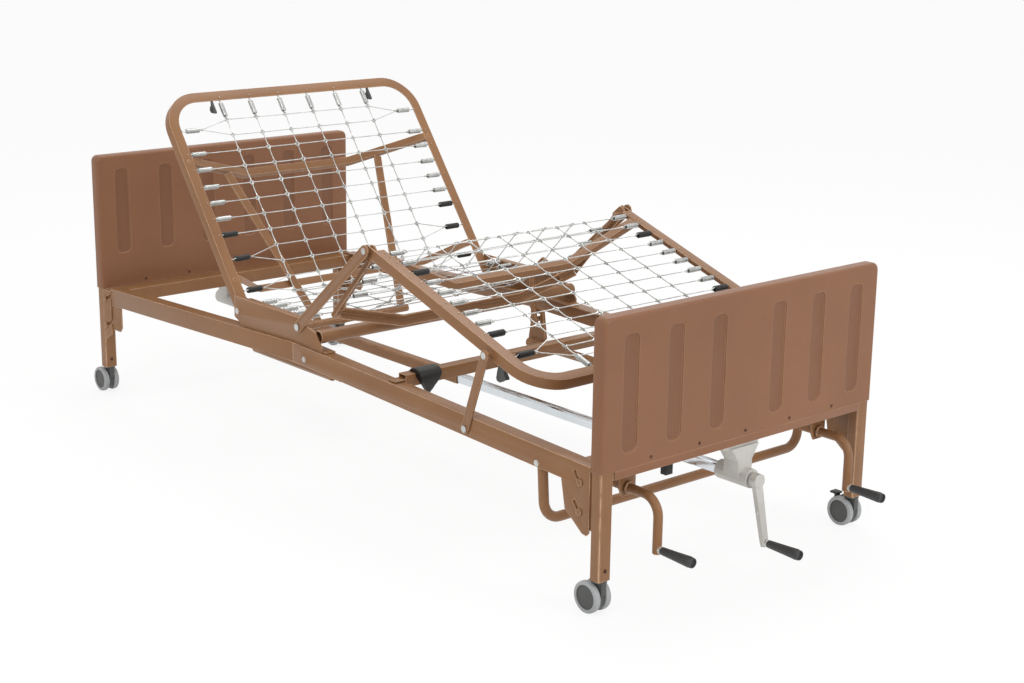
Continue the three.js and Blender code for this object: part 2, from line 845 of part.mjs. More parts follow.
// Caster hood: the body between the wheels, its swivel flange and stem. X is counted from the stem.
function casterHood(hasPedal) {
  const axle = [-casterTrail, wheelRadius];
  const disc = rod(
    [axle[0], -casterWeb / 2, axle[1]],
    [axle[0], casterWeb / 2, axle[1]],
    wheelRadius - 4,
    12,
  );
  const neck = box(-casterTrail + 4, 14, -casterWeb / 2, casterWeb / 2, wheelRadius + 8, 2 * wheelRadius + 2);
  const flangeTop = postBottom - fit;
  const flange = rod([0, 0, 2 * wheelRadius + 0.9], [0, 0, flangeTop], 17, 10);
  const stem = rod([0, 0, flangeTop - 1], [0, 0, postBottom + stemLength], stemRadius, 8);
  const axleHole = rod([axle[0], -casterWeb, axle[1]], [axle[0], casterWeb, axle[1]], axleRadius + 0.6, 8);
  const hood = cut(join(disc, neck, flange, stem), axleHole);
  if (!hasPedal) return hood;
  const slot = box(axle[0] - wheelRadius, axle[0] - 13, -4, 4, wheelRadius + 10, 2 * wheelRadius);
  const ears = box(axle[0] - 32, axle[0] - 12, -casterWeb / 2, casterWeb / 2, wheelRadius + 10, wheelRadius + 26);
  const pin = rod(pedalPin(-casterWeb / 2 + 0.5), pedalPin(casterWeb / 2 - 0.5), pedalPinRadius, 8);
  return join(cut(join(hood, ears), slot), pin);
}

function pedalPin(y) {
  return [-casterTrail - 24, y, wheelRadius + 20];
}

// Wheel pair: two wheels on one axle
function wheelPair() {
  const z = wheelRadius;
  const x = -casterTrail;
  const axle = rod([x, -casterWeb / 2 - 3, z], [x, casterWeb / 2 + 3, z], axleRadius, 8);
  const inner = casterWeb / 2 + 1;
  const wheels = bothSides((side) => {
    const tyre = rod([x, side * inner, z], [x, side * (inner + wheelWidth), z], wheelRadius, 16);
    const dish = rod(
      [x, side * (inner + wheelWidth - 3), z],
      [x, side * (inner + wheelWidth + 1), z],
      wheelRadius - 9,
      8,
    );
    return cut(tyre, dish);
  });
  return join(axle, ...wheels);
}

// Brake pedal: a tread above the wheels on an arm between them
function brakePedal() {
  const [x, , z] = pedalPin(0);
  const arm = box(x - 8, x + 6, -3.4, 3.4, z - 5, z + 17);
  const tread = box(x - 16, x + 6, -11, 11, z + 16, z + 21);
  const hole = rod([x, -5, z], [x, 5, z], pedalPinRadius + 0.4, 8);
  return cut(join(arm, tread), hole);
}

// Height of a rail's top at a place along the bed
function railTop(x) {
  const slope = x < kinkX ? Math.tan(headRailSlope) : -Math.tan(footRailSlope);
  return kinkTop + (x - kinkX) * slope;
}

function railPoint(x, drop = 0) {
  return new THREE.Vector3(x, -railFace, railTop(x) - drop);
}

// Near head rail: angle iron, lock plate with two rivets, and the splice that enters the foot rail
function headRail() {
  const start = -railEnd + 38;
  const iron = cut(
    sweep(angleSection(railFlange, railHeight, railSheet), [railPoint(start), railPoint(kinkX + 4, -0.3)]),
    box(kinkX - fit / 2, kinkX + 10, -railFace - 1, 0, 0, kinkTop + 9),
  );
  const plateInner = -railInner + endPlateSheet;
  const lockPlate = slabY(
    polygon([
      [-railEnd, railTop(start) - 5],
      [-railEnd, lowerRivet - 8],
      [-railEnd + 80, lowerRivet - 8],
      [-railEnd + 92, lowerRivet + 6],
      [-railEnd + 92, railTop(start) - 5],
    ]),
    -railInner - 0.3,
    plateInner,
  );
  const rivets = [upperRivet, lowerRivet].map((height) => {
    const x = -railEnd + 4;
    const shank = rod([x, plateInner - 1, height], [x, -railInner - 7, height], rivetRadius, 8);
    const head = rod([x, -railInner - 5.4, height], [x, -railInner - 8.2, height], 9, 10);
    return join(shank, head);
  });
  const lowEdge = railHeight + 3;
  const strip = (x0, x1, inset) =>
    sweep(
      polygon([
        [inset, -lowEdge],
        [railSheet + 4, -lowEdge],
        [railSheet + 4, -8],
        [inset, -8],
      ]),
      [railPoint(x0), railPoint(x1)],
    );
  const splice = join(
    strip(kinkX - 80, kinkX - 3, railSheet - 0.5),
    strip(kinkX - 9, kinkX + spliceReach, railSheet + fit),
  );
  return join(iron, lockPlate, ...rivets, splice);
}

// Near foot rail: angle iron, end plate with two slanted slots, and the bolts of the link and bow
function footRail() {
  const iron = cut(
    sweep(angleSection(railFlange, railHeight, railSheet), [railPoint(kinkX - 4, -0.3), railPoint(railEnd)]),
    box(kinkX - 10, kinkX + fit / 2, -railFace - 1, 0, 0, kinkTop + 9),
  );
  const plateHead = railEnd - 93;
  const endPlate = slabY(
    polygon([
      [plateHead, railTop(plateHead) - railHeight + 4],
      [plateHead + 14, lowerRivet + 3],
      [railEnd - 22, lowerRivet - 40],
      [railEnd - 8, lowerRivet - 42],
      [railEnd, lowerRivet - 34],
      [railEnd, railTop(railEnd) - 4],
      [plateHead, railTop(plateHead) - 6],
    ]),
    -railFace,
    -railInner,
  );
  const slots = footSlots.map((height) => {
    const seat = [railEnd - 32, height];
    const mouth = [railEnd - 50, height + 24];
    return join(
      slabY(barOutline(seat, mouth, 2 * rivetRadius + 1.2), -railFace - 2, -railInner + 2),
      rod([seat[0], -railFace - 2, seat[1]], [seat[0], -railInner + 2, seat[1]], rivetRadius + 0.6, 8),
    );
  });
  const headOf = (x, z) => rod([x, -railFace + 1, z], [x, -railFace - boltHeadThick, z], 8, 8);
  const linkPin = join(
    rod([footLinkX, -railInner, footLinkHeight], [footLinkX, -linkOuter - 2, footLinkHeight], 5, 8),
    rod(
      [footLinkX, -linkOuter - fit, footLinkHeight],
      [footLinkX, -linkOuter - boltHeadThick, footLinkHeight],
      boltHead,
      8,
    ),
  );
  const bowBolt = rod(
    [bowX, -railInner - 1, bowBoltHeight],
    [bowX, -railInner + 2 * bowTubeRadius + 4, bowBoltHeight],
    4,
    6,
  );
  const jointBolt = headOf(kinkX + 53, railTop(kinkX + 53) - 33);
  return join(cut(join(iron, endPlate), ...slots), linkPin, bowBolt, headOf(bowX, bowBoltHeight), jointBolt);
}

// Cross angle that ties the rails at one end of the deck, seated under their top flanges
function crossAngle() {
  const section = polygon([
    [0, crossAngleTop],
    [-crossAngleWidth, crossAngleTop],
    [-crossAngleWidth, crossAngleTop - crossAngleHeight],
    [-crossAngleWidth + railSheet, crossAngleTop - crossAngleHeight],
    [-crossAngleWidth + railSheet, crossAngleTop - railSheet],
    [0, crossAngleTop - railSheet],
  ]);
  return slabY(section, -crossAngleEnd, crossAngleEnd);
}

// Near seat plate: stands on the rail joint, carries the pivots of the back and thigh sections
function seatPlate() {
  const rest = (x) => railTop(x) + fit;
  const plate = slabY(
    polygon([
      [seatHeadEnd, backPivotHeight - 18],
      [seatHeadEnd + 50, rest(seatHeadEnd + 50)],
      [kinkX, rest(kinkX)],
      [kinkX + 124, rest(kinkX + 124)],
      [kinkX + 124, rest(kinkX + 124) + 13],
      [seatFootEnd + 50, thighPivotHeight],
      [seatFootEnd + 24, thighPivotHeight + 6],
      [seatFootEnd, thighPivotHeight + 10],
      [seatFootEnd, seatTop],
      [seatHeadEnd, seatTop],
    ]),
    -seatOuter,
    -seatInner,
  );
  const topFlange = box(seatHeadEnd + 52, seatFootEnd, -seatInner - 1, -seatInner + 18, seatTop - 3, seatTop);
  const footFlange = sweep(
    polygon([
      [0, 0],
      [30, 0],
      [30, 4],
      [0, 4],
    ]),
    [
      new THREE.Vector3(kinkX + 20, -seatInner - 0.5, rest(kinkX + 20)),
      new THREE.Vector3(kinkX + 138, -seatInner - 0.5, rest(kinkX + 138)),
    ],
  );
  const backPin = join(
    rod([backPivotX, -seatOuter, backPivotHeight], [backPivotX, -backHalf + 8, backPivotHeight], pivotRadius, 10),
    rod([backPivotX, -seatOuter + 1, backPivotHeight], [backPivotX, -seatOuter - boltHeadThick, backPivotHeight], boltHead, 8),
  );
  const thighPin = join(
    rod([thighPivotX, -seatInner - 1, thighPivotHeight], [thighPivotX, -thighBarOuter - 2, thighPivotHeight], pivotRadius, 10),
    rod(
      [thighPivotX, -thighBarOuter - 0.4, thighPivotHeight],
      [thighPivotX, -thighBarOuter - boltHeadThick, thighPivotHeight],
      10,
      8,
    ),
  );
  return join(plate, topFlange, footFlange, backPin, thighPin);
}

function centreTube() {
  const end = seatInner - fit;
  const outside = rod([0, -end, 0], [0, end, 0], centreTubeRadius, 12);
  const bore = rod([0, -end - 1, 0], [0, end + 1, 0], centreTubeRadius - 2.5, 8);
  return cut(outside, bore);
}

// Cross member under the knees, with end tabs on the rails' top flanges
function kneeMember() {
  const half = kneeMemberSection / 2;
  const inner = railFace - railFlange - 3;
  const beam = cut(
    box(-half, half, -inner, inner, kneeMemberTop - 32, kneeMemberTop),
    box(-half + 2.5, half - 2.5, -inner - 1, inner + 1, kneeMemberTop - 33, kneeMemberTop - 2.5),
  );
  const tabBottom = railTop(kneeMemberX - half) + fit;
  const tabs = bothSides((side) => {
    const ends = [side * (inner - 18), side * (railInner - 6)].sort((a, b) => a - b);
    return box(-half, half, ends[0], ends[1], tabBottom, tabBottom + 4);
  });
  return join(beam, ...tabs);
}

// Black hook that saddles the knee member and hangs down on its foot side
function saddleHook() {
  const half = kneeMemberSection / 2 + fit;
  const top = kneeMemberTop + fit;
  const outline = polygon([
    [-half - 6, top - 6],
    [-half, top - 6],
    [-half, top],
    [half, top],
    [half, top - 50],
    [half + 7, top - 56],
    [half + 22, top - 20],
    [half + 20, top + 2],
    [half, top + 11],
    [-half, top + 6],
  ]);
  return slabY(outline, -380, -312);
}

// Black clip that hangs from the foot cross angle
function hangingClip() {
  const top = crossAngleTop - railSheet - fit;
  return join(
    box(-6, 6, -200, -170, top - 45, top),
    box(-10, 8, -196, -174, top - 72, top - 44),
  );
}

// Stand bow: bent tube bolted inside the foot rails
function standBow() {
  const y = railInner - fit - bowTubeRadius;
  const path = [
    [bowX, -y, bowTop],
    [bowX + 11, -y, bowBottom],
    [bowX + 11, y, bowBottom],
    [bowX, y, bowTop],
  ].map(vector);
  const along = new THREE.Vector3(1, 0, 0);
  const tube = sweep(roundSection(bowTubeRadius, 6), roundCorners(path, bowBend, 3), along);
  const holes = bothSides((side) =>
    rod([bowX, side * (y - 20), bowBoltHeight], [bowX, side * (y + 20), bowBoltHeight], 4.6, 6),
  );
  return cut(tube, ...holes);
}

// A bent stiffener across a section: level ends under the flanges, sloping to a low middle
function stiffener(x, width, endHalf, bendHalf, innerHalf, drop) {
  const top = sectionRise - ironSheet + 0.5;
  const path = [
    [x, -endHalf, top],
    [x, -bendHalf, top],
    [x, -innerHalf, top - drop],
    [x, innerHalf, top - drop],
    [x, bendHalf, top],
    [x, endHalf, top],
  ].map(vector);
  return sweep(angleSection(width, 20, ironSheet), path);
}

// Back frame in its flat frame: pivot at the origin, head end at -X
function backFrame() {
  const path = [
    [18, -backHalf, sectionRise],
    [-backLength, -backHalf, sectionRise],
    [-backLength, backHalf, sectionRise],
    [18, backHalf, sectionRise],
  ].map(vector);
  const iron = sweep(angleSection(-ironFlange, ironDepth, ironSheet), roundCorners(path, backCorner, 3));
  const upper = stiffener(-backStiffenerAlong, 22, backHalf - 2, backHalf - 36, 184, 107);
  const lower = stiffener(-100, -22, backHalf - 2, backHalf - 38, 295, 97);
  const lugs = bothSides((side) =>
    box(-backLength + ironFlange - 3, -backLength + 52, side * 275 - 2, side * 275 + 2, -14, sectionRise - 1),
  );
  const pivotHole = rod([0, -backHalf - 5, 0], [0, backHalf + 5, 0], pivotRadius + 0.5, 10);
  return cut(join(iron, upper, lower, ...lugs), pivotHole);
}

// Push frame of the back: two flat struts from the upper stiffener to the lever bar
function pushFrame() {
  const bar = rod([leverAhead, -330, -leverBelow], [leverAhead, 168, -leverBelow], leverBarRadius, 12);
  const struts = bothSides((side) => {
    const path = [
      [-backStiffenerAlong + ironSheet + fit, side * 267, -64],
      [leverAhead, side * 147, -leverBelow + 4],
    ].map(vector);
    const flat = polygon([
      [-12, -5],
      [12, -5],
      [12, 0],
      [-12, 0],
    ]);
    return sweep(flat, path);
  });
  return join(bar, ...struts);
}

// Thigh link bar on the near side, in the thigh's flat frame: pivot at the origin, knee at +X
function thighLink() {
  const half = linkBarWidth / 2;
  const outline = roundedRectangle(-half, -half, thighLength + half, half, half - 1, 2);
  const bar = slabY(outline, -thighBarOuter, -thighBarInner);
  const hole = rod([0, -thighBarOuter - 2, 0], [0, -thighBarInner + 2, 0], pivotRadius + 0.5, 10);
  const kneePin = join(
    rod([thighLength, -thighBarOuter + 1, 0], [thighLength, -thighHalf - 3.4, 0], pivotRadius, 10),
    rod([thighLength, -thighBarOuter - boltHeadThick, 0], [thighLength, -thighBarOuter + 1, 0], boltHead, 8),
  );
  return join(cut(bar, hole), kneePin);
}

// Thigh frame: bowed angle iron between the knees, open towards the knees, with the knee lever far side.
// Its bow passes between the rails' flanges and its sides pass over them when the bed lies flat.
function thighFrame() {
  const kneeEnd = thighLength - 4;
  const corner = 122;
  const sides = bothSides((side) => {
    const run = [
      [corner, side * thighHalf, -34],
      [kneeEnd, side * thighHalf, -2],
    ].map(vector);
    return sweep(angleSection(-side * 24, thighIronDepth, ironSheet), run);
  });
  const bowReach = railFace - railFlange - 7;
  const bow = [
    [corner + 10, bowReach, -35],
    [92, 205, -69],
    [92, -205, -69],
    [corner + 10, -bowReach, -35],
  ].map(vector);
  const cornerPlates = bothSides((side) => {
    const y = [side * (thighHalf - 22), side * (thighHalf - 2)].sort((a, b) => a - b);
    return box(corner + 5, corner + 30, y[0], y[1], -41, -34);
  });
  const iron = join(sweep(angleSection(24, 22, ironSheet), bow), ...sides, ...cornerPlates);
  const lugs = bothSides((side) => {
    const y = [side * (thighHalf - ironSheet + 0.5), side * (thighHalf + ironSheet)].sort((a, b) => a - b);
    return slabY(roundedRectangle(kneeEnd - 34, -18, thighLength + 12, 12, 8), y[0], y[1]);
  });
  // The lever arches over the centre tube, which it must clear from the raised to the flat position
  const [dropX, dropZ] = [kneePinX - thighPivotX, kneePinHeight - thighPivotHeight];
  const pinX = dropX * Math.cos(thighAngle) + dropZ * Math.sin(thighAngle);
  const pinZ = -dropX * Math.sin(thighAngle) + dropZ * Math.cos(thighAngle);
  const leverY = kneeCrankSide - 8;
  const arch = [
    [125, -61],
    [114, -8],
    [98, 22],
    [34, 20],
    [pinX, pinZ],
  ].map(([x, z]) => new THREE.Vector3(x, leverY, z));
  const plate = polygon([
    [-9, -4],
    [9, -4],
    [9, 4],
    [-9, 4],
  ]);
  const lever = sweep(plate, arch, new THREE.Vector3(0, 1, 0));
  const boss = rod([pinX, leverY - 5, pinZ], [pinX, leverY + 3.6, pinZ], 14.2, 8);
  const leverPin = rod([pinX, leverY + 3, pinZ], [pinX, kneeCrankSide + 16, pinZ], kneePinRadius, 8);
  return join(iron, ...lugs, lever, boss, leverPin);
}

// Calf frame in its flat frame: knee at the origin, foot end at +X
function calfFrame() {
  const path = [
    [-14, calfHalf, sectionRise],
    [calfLength, calfHalf, sectionRise],
    [calfLength, -calfHalf, sectionRise],
    [-14, -calfHalf, sectionRise],
  ].map(vector);
  const iron = sweep(angleSection(-ironFlange, ironDepth, ironSheet), roundCorners(path, calfCorner, 3));
  const bow = stiffener(77, 22, calfHalf - 2, calfHalf - 36, 195, 97);
  const kneeHole = rod([0, -calfHalf - 5, 0], [0, calfHalf + 5, 0], pivotRadius + 0.5, 10);
  const notches = bothSides((side) => {
    const y = [side * (calfHalf - ironSheet), side * (calfHalf - ironFlange - 5)].sort((a, b) => a - b);
    return box(-20, 22, y[0], y[1], -1, sectionRise + 1);
  });
  const bosses = bothSides((side) =>
    rod(
      [calfBoltAlong, side * (calfHalf - 2), -calfBoltBelow + 2],
      [calfBoltAlong, side * (linkInner - 0.5), -calfBoltBelow + 2],
      7,
      8,
    ),
  );
  return join(cut(join(iron, bow), kneeHole, ...notches), ...bosses);
}

// Foot link on the near side: from the rail's bolt up to the calf's boss, drawn along +X from the rail
function footLink(length) {
  const half = linkBarWidth / 2 - 2;
  const bar = slabY(roundedRectangle(-half, -half, length + half, half, half - 1, 2), -linkOuter, -linkInner);
  const hole = rod([0, -linkOuter - 2, 0], [0, -linkInner + 2, 0], 5.5, 8);
  const bolt = rod([length, -linkOuter + 1, 0], [length, -linkOuter - boltHeadThick, 0], boltHead, 8);
  return join(cut(bar, hole), bolt);
}

function wire(x0, x1, y0, y1, z) {
  const half = netWire / 2;
  return box(x0 - half, x1 + half, y0 - half, y1 + half, z - half, z + half);
}

// A flat wire net: strands along the section up to a hook, crossed by rows that reach out as far as given
function wireNet(rows, z, reachOf = () => strandReach, hookX = rows[0]) {
  const ends = [...rows, hookX];
  const strands = strandPlaces().map((y) => wire(Math.min(...ends), Math.max(...ends), y, y, z));
  const crossings = rows.map((x) => wire(x, x, -reachOf(x), reachOf(x), z));
  return join(...strands, ...crossings);
}

// The close-wound body of a plain spring, around the wire that runs through it
function springBody(middle, along) {
  const half = vector(along).multiplyScalar(springLength / 2);
  const centre = vector(middle);
  return rod(centre.clone().sub(half).toArray(), centre.add(half).toArray(), springRadius, 4);
}

// A coiled spring along -X: one unbroken tube with straight ends on its axis
function coiledSpring(from, to) {
  const length = Math.abs(to[0] - from[0]);
  const startRun = (length - coilTurnsLength) / 2;
  const centres = [new THREE.Vector3(from[0], from[1], from[2])];
  const coilRadius = springRadius - coilWire / 2;
  const total = coilCurls * coilSteps;
  centres.push(new THREE.Vector3(from[0] - startRun + 4, from[1], from[2]));
  for (let i = 0; i <= total; i++) {
    const angle = (2 * Math.PI * i) / coilSteps;
    const along = startRun + (coilTurnsLength * i) / total;
    centres.push(
      new THREE.Vector3(
        from[0] - along,
        from[1] + coilRadius * Math.cos(angle),
        from[2] + coilRadius * Math.sin(angle),
      ),
    );
  }
  centres.push(new THREE.Vector3(from[0] - length + startRun - 4, from[1], from[2]));
  centres.push(new THREE.Vector3(to[0], to[1], to[2]));
  return { solid: tubeThrough(centres, coilWire / 2, coilSides), centres };
}

// An unbroken tube through points, made ring by ring with each ring square to its run
function tubeThrough(centres, radius, sides) {
  const vertices = [];
  const faces = [];
  const axis = new THREE.Vector3(1, 0, 0);
  let side = new THREE.Vector3(0, 1, 0);
  centres.forEach((centre, i) => {
    const before = centres[Math.max(i - 1, 0)];
    const after = centres[Math.min(i + 1, centres.length - 1)];
    const along = after.clone().sub(before).normalize();
    side = side.clone().addScaledVector(along, -side.dot(along));
    if (side.lengthSq() < 1e-6) side = axis.clone().cross(along);
    side.normalize();
    const top = along.clone().cross(side);
    for (let k = 0; k < sides; k++) {
      const angle = (2 * Math.PI * k) / sides;
      const point = centre
        .clone()
        .addScaledVector(side, radius * Math.cos(angle))
        .addScaledVector(top, radius * Math.sin(angle));
      vertices.push(point.x, point.y, point.z);
    }
  });
  for (let i = 0; i < centres.length - 1; i++) {
    for (let k = 0; k < sides; k++) {
      const a = i * sides + k;
      const b = i * sides + ((k + 1) % sides);
      faces.push(a, b, a + sides, b, b + sides, a + sides);
    }
  }
  const last = (centres.length - 1) * sides;
  for (let k = 1; k < sides - 1; k++) {
    faces.push(0, k + 1, k);
    faces.push(last, last + k, last + k + 1);
  }
  const geometry = new THREE.BufferGeometry();
  geometry.setAttribute("position", new THREE.Float32BufferAttribute(vertices, 3));
  geometry.setIndex(faces);
  return solidOf(geometry);
}

// Least gap between turns of a coil, measured between its centre points more than half a turn apart
function leastCoilGap(centres) {
  let least = Infinity;
  for (let i = 0; i < centres.length; i++) {
    for (let j = i + coilSteps / 2 + 1; j < centres.length; j++) {
      least = Math.min(least, centres[i].distanceTo(centres[j]) - coilWire);
    }
  }
  return least;
}

function strandPlaces() {
  return Array.from({ length: strandCount }, (_, i) => -strandReach + i * strandPitch);
}

function sideBodies(rows, y, z) {
  return rows.flatMap((x) => [-1, 1].map((side) => springBody([x, side * y, z], [0, 1, 0])));
}

// V-tied side spring: two wires from the net's edge meet in one spring
function tiedSpring([rowA, rowB], hook, z) {
  const x = (rowA + rowB) / 2;
  const half = netWire / 2;
  const meet = strandReach + 62;
  return bothSides((side) => {
    const outline = [
      [rowA - half, side * strandReach],
      [rowA + half, side * strandReach],
      [x, side * (meet - 4)],
      [rowB - half, side * strandReach],
      [rowB + half, side * strandReach],
      [x + half, side * meet],
      [x - half, side * meet],
    ];
    const ends = [side * (meet - 2), side * hook].sort((first, second) => first - second);
    const middle = [x, side * (strandReach + 110), z];
    return join(
      slabZ(polygon(outline), z - half, z + half),
      wire(x, x, ends[0], ends[1], z),
      springBody(middle, [0, 1, 0]),
    );
  });
}

const netZ = sectionRise - ironSheet - fit - netWire / 2;

// Back net, with the coiled springs of the head end
function backNet() {
  const rows = [-580, -530, -480, -430, -375, -325, -275, -225, -175, -125, -75, -30];
  const sprung = [-480, -430, -375, -325, -275, -225];
  const hook = backHalf - ironFlange + 8;
  const net = wireNet(rows, netZ, (x) => (sprung.includes(x) ? hook : strandReach));
  const tied = [[-580, -530], [-175, -125], [-75, -30]].flatMap((pair) => tiedSpring(pair, hook, netZ));
  const coils = strandPlaces().map((y) => {
    const z = netZ - (coilWire - netWire) / 2;
    return coiledSpring([rows[0] + 1, y, z], [-backLength + ironFlange - 8, y, z]);
  });
  console.log("least gap between curls", leastCoilGap(coils[0].centres).toFixed(2), "mm");
  return join(net, ...sideBodies(sprung, backHalf - 58, netZ), ...tied, ...coils.map((coil) => coil.solid));
}

// Seat net between the seat plates
function seatNet() {
  const rows = [-300, -250, -200, -150, -100, -50, 0];
  const sprung = [-250, -200, -150, -100, -50];
  const z = seatTop - 3 - fit - netWire / 2;
  const net = wireNet(rows, z, (x) => (sprung.includes(x) ? seatInner - 10 : strandReach));
  return join(net, ...sideBodies(sprung, seatInner - 58, z));
}

// Thigh net in the plane of the thigh frame's sides
function thighNet() {
  const rows = [140, 200, 260, 320, 370];
  const sprung = [200, 260, 320];
  const net = wireNet(rows, 0, (x) => (sprung.includes(x) ? thighHalf - 16 : strandReach));
  return join(net, ...sideBodies(sprung, thighHalf - 66, 0));
}

// Calf net, with the plain springs of the foot end
function calfNet() {
  const rows = [40, 90, 140, 190, 240, 290, 340, 390, 440, 490, 540, 585];
  const sprung = [40, 90, 140, 190, 240, 290, 340, 390, 440];
  const hook = calfHalf - ironFlange + 8;
  const endHook = calfLength - ironFlange + 8;
  const net = wireNet(rows, netZ, (x) => (sprung.includes(x) ? hook : strandReach), endHook);
  const tied = tiedSpring([490, 585], hook, netZ);
  const ends = strandPlaces().map((y) => springBody([endHook - 32, y, netZ], [1, 0, 0]));
  return join(net, ...sideBodies(sprung, calfHalf - 58, netZ), ...tied, ...ends);
}

// Assembly
const bed = new THREE.Group();
bed.position.x = centreShift;

function placedGroup(parent, x, z, turnY = 0, turnZ = 0) {
  const group = new THREE.Group();
  group.position.set(x, 0, z);
  group.rotation.set(0, turnY, turnZ);
  parent.add(group);
  return group;
}

const footEnd = placedGroup(bed, endCentreX, 0);
const headEnd = placedGroup(bed, -endCentreX, 0, 0, Math.PI);

const recessOuter = halfWidth - recessSideMargin - recessWidth / 2;
const footRecesses = recessRow(footRecessInner, recessOuter);
const headRecesses = recessRow(recessOuter / 5, recessOuter);
addPart(footEnd, "foot_panel", panelShell(footPanelTop, panelBottom + footRecessRise, footRecesses), panelEnamel);
addPart(headEnd, "head_panel", panelShell(headPanelTop, panelBottom + headRecessRise, headRecesses), panelEnamel);
addPart(footEnd, "foot_end_frame", endFrame(footLockPlates()), brownEnamel);
addPart(headEnd, "head_end_frame", endFrame(headLockPlates()), brownEnamel);
const legs = innerLegs();
addPart(footEnd, "foot_inner_legs", legs, zinc);
addPart(headEnd, "head_inner_legs", legs, zinc);
const lift = leadScrew();
addPart(footEnd, "foot_lead_screw", lift, zinc);
addPart(headEnd, "head_lead_screw", lift, zinc);
const casting = gearbox();
addPart(footEnd, "foot_gearbox", casting, castAluminium);
addPart(headEnd, "head_gearbox", casting, castAluminium);

addPart(bed, "drive_shaft_sleeve", driveShaftOuter(), brownEnamel);
addPart(bed, "drive_shaft_inner", driveShaftInner(), chrome);
addPart(bed, "height_crank", heightCrank(), castAluminium);
addPart(bed, "height_crank_grip", grip(hiLoGripStart, 0, driveHeight - hiLoArmDrop), blackRubber);

const gripHeight = crankHeight - crankArmDrop;
addPart(bed, "back_crank", outerCrank(-backCrankSide), brownEnamel);
addPart(bed, "back_crank_grip", grip(gripStart, -backCrankSide, gripHeight), blackRubber);
addPart(bed, "knee_crank", outerCrank(kneeCrankSide), brownEnamel);
addPart(bed, "knee_crank_grip", grip(gripStart, kneeCrankSide, gripHeight), blackRubber);
addPart(bed, "back_crank_bearing", crankBearing(-backCrankSide), brownEnamel);
addPart(bed, "knee_crank_bearing", crankBearing(kneeCrankSide), brownEnamel);

// The back's lever bar, where the raised back holds it
const leverX =
  backPivotX + leverAhead * Math.cos(backAngle) - leverBelow * Math.sin(backAngle);
const leverReach = Math.hypot(leverAhead, leverBelow);
const leverLow = backPivotHeight - leverReach;
const leverHigh = leverLow + 22;
addPart(bed, "back_screw", screw(-backCrankSide, leverX + 50), zinc);
addPart(
  bed,
  "back_push_tube",
  travellingTube(-backCrankSide, leverX - 100, leverX + 280, 0, leverX, leverLow, leverHigh, leverBarRadius),
  brownEnamel,
);
addPart(bed, "knee_screw", screw(kneeCrankSide, kneePinX + 90), zinc);
addPart(
  bed,
  "knee_pull_tube",
  travellingTube(kneeCrankSide, kneePinX - 30, kneePinX + 315, 8, kneePinX, kneePinHeight - 5, kneePinHeight + 8, kneePinRadius),
  brownEnamel,
);

const nearHeadRail = headRail();
addPart(bed, "head_rail_near", nearHeadRail, brownEnamel);
addMirrored(bed, "head_rail_far", nearHeadRail, brownEnamel);
const nearFootRail = footRail();
addPart(bed, "foot_rail_near", nearFootRail, brownEnamel);
addMirrored(bed, "foot_rail_far", nearFootRail, brownEnamel);
const crossPiece = crossAngle();
addPart(placedGroup(bed, railEnd - 8, 0), "foot_cross_angle", crossPiece, brownEnamel);
addPart(placedGroup(bed, -railEnd + 8, 0, 0, Math.PI), "head_cross_angle", crossPiece, brownEnamel);
const nearSeatPlate = seatPlate();
addPart(bed, "seat_plate_near", nearSeatPlate, brownEnamel);
addMirrored(bed, "seat_plate_far", nearSeatPlate, brownEnamel);
addPart(placedGroup(bed, centreTubeX, centreTubeHeight), "centre_tube", centreTube(), brownEnamel);
const kneeGroup = placedGroup(bed, kneeMemberX, 0);
addPart(kneeGroup, "knee_cross_member", kneeMember(), brownEnamel);
addPart(kneeGroup, "saddle_hook", saddleHook(), blackPlastic);
addPart(placedGroup(bed, bearingX() + 14, 0), "hanging_clip", hangingClip(), blackPlastic);
addPart(bed, "stand_bow", standBow(), brownEnamel);
addPart(bed, "seat_net", seatNet(), zinc);

const backSection = placedGroup(bed, backPivotX, backPivotHeight, backAngle);
addPart(backSection, "back_frame", backFrame(), brownEnamel);
addPart(backSection, "back_push_frame", pushFrame(), brownEnamel);
addPart(backSection, "back_net", backNet(), zinc);

const thighSection = placedGroup(bed, thighPivotX, thighPivotHeight, -thighAngle);
const nearThighLink = thighLink();
addPart(thighSection, "thigh_link_near", nearThighLink, brownEnamel);
addMirrored(thighSection, "thigh_link_far", nearThighLink, brownEnamel);
addPart(thighSection, "thigh_frame", thighFrame(), brownEnamel);
const thighPlane = Math.atan2(32, thighLength - 4 - 122);
const thighNetGroup = placedGroup(thighSection, thighLength - 4, -2 - ironSheet - fit - netWire / 2, -thighPlane);
const thighNetShift = placedGroup(thighNetGroup, -(thighLength - 4), 0);
addPart(thighNetShift, "thigh_net", thighNet(), zinc);

const kneeX = thighPivotX + thighLength * Math.cos(thighAngle);
const kneeHeight = thighPivotHeight + thighLength * Math.sin(thighAngle);
const calfSection = placedGroup(bed, kneeX, kneeHeight, calfAngle);
addPart(calfSection, "calf_frame", calfFrame(), brownEnamel);
addPart(calfSection, "calf_net", calfNet(), zinc);

// The foot links reach from the rail's bolts to the calf's bosses
const bossX = kneeX + calfBoltAlong * Math.cos(calfAngle) - (calfBoltBelow - 2) * Math.sin(calfAngle);
const bossHeight = kneeHeight - calfBoltAlong * Math.sin(calfAngle) - (calfBoltBelow - 2) * Math.cos(calfAngle);
const linkLength = Math.hypot(bossX - footLinkX, bossHeight - footLinkHeight);
const linkAngle = Math.atan2(bossHeight - footLinkHeight, bossX - footLinkX);
const linkGroup = placedGroup(bed, footLinkX, footLinkHeight, -linkAngle);
const nearLink = footLink(linkLength);
addPart(linkGroup, "foot_link_near", nearLink, brownEnamel);
addMirrored(linkGroup, "foot_link_far", nearLink, brownEnamel);

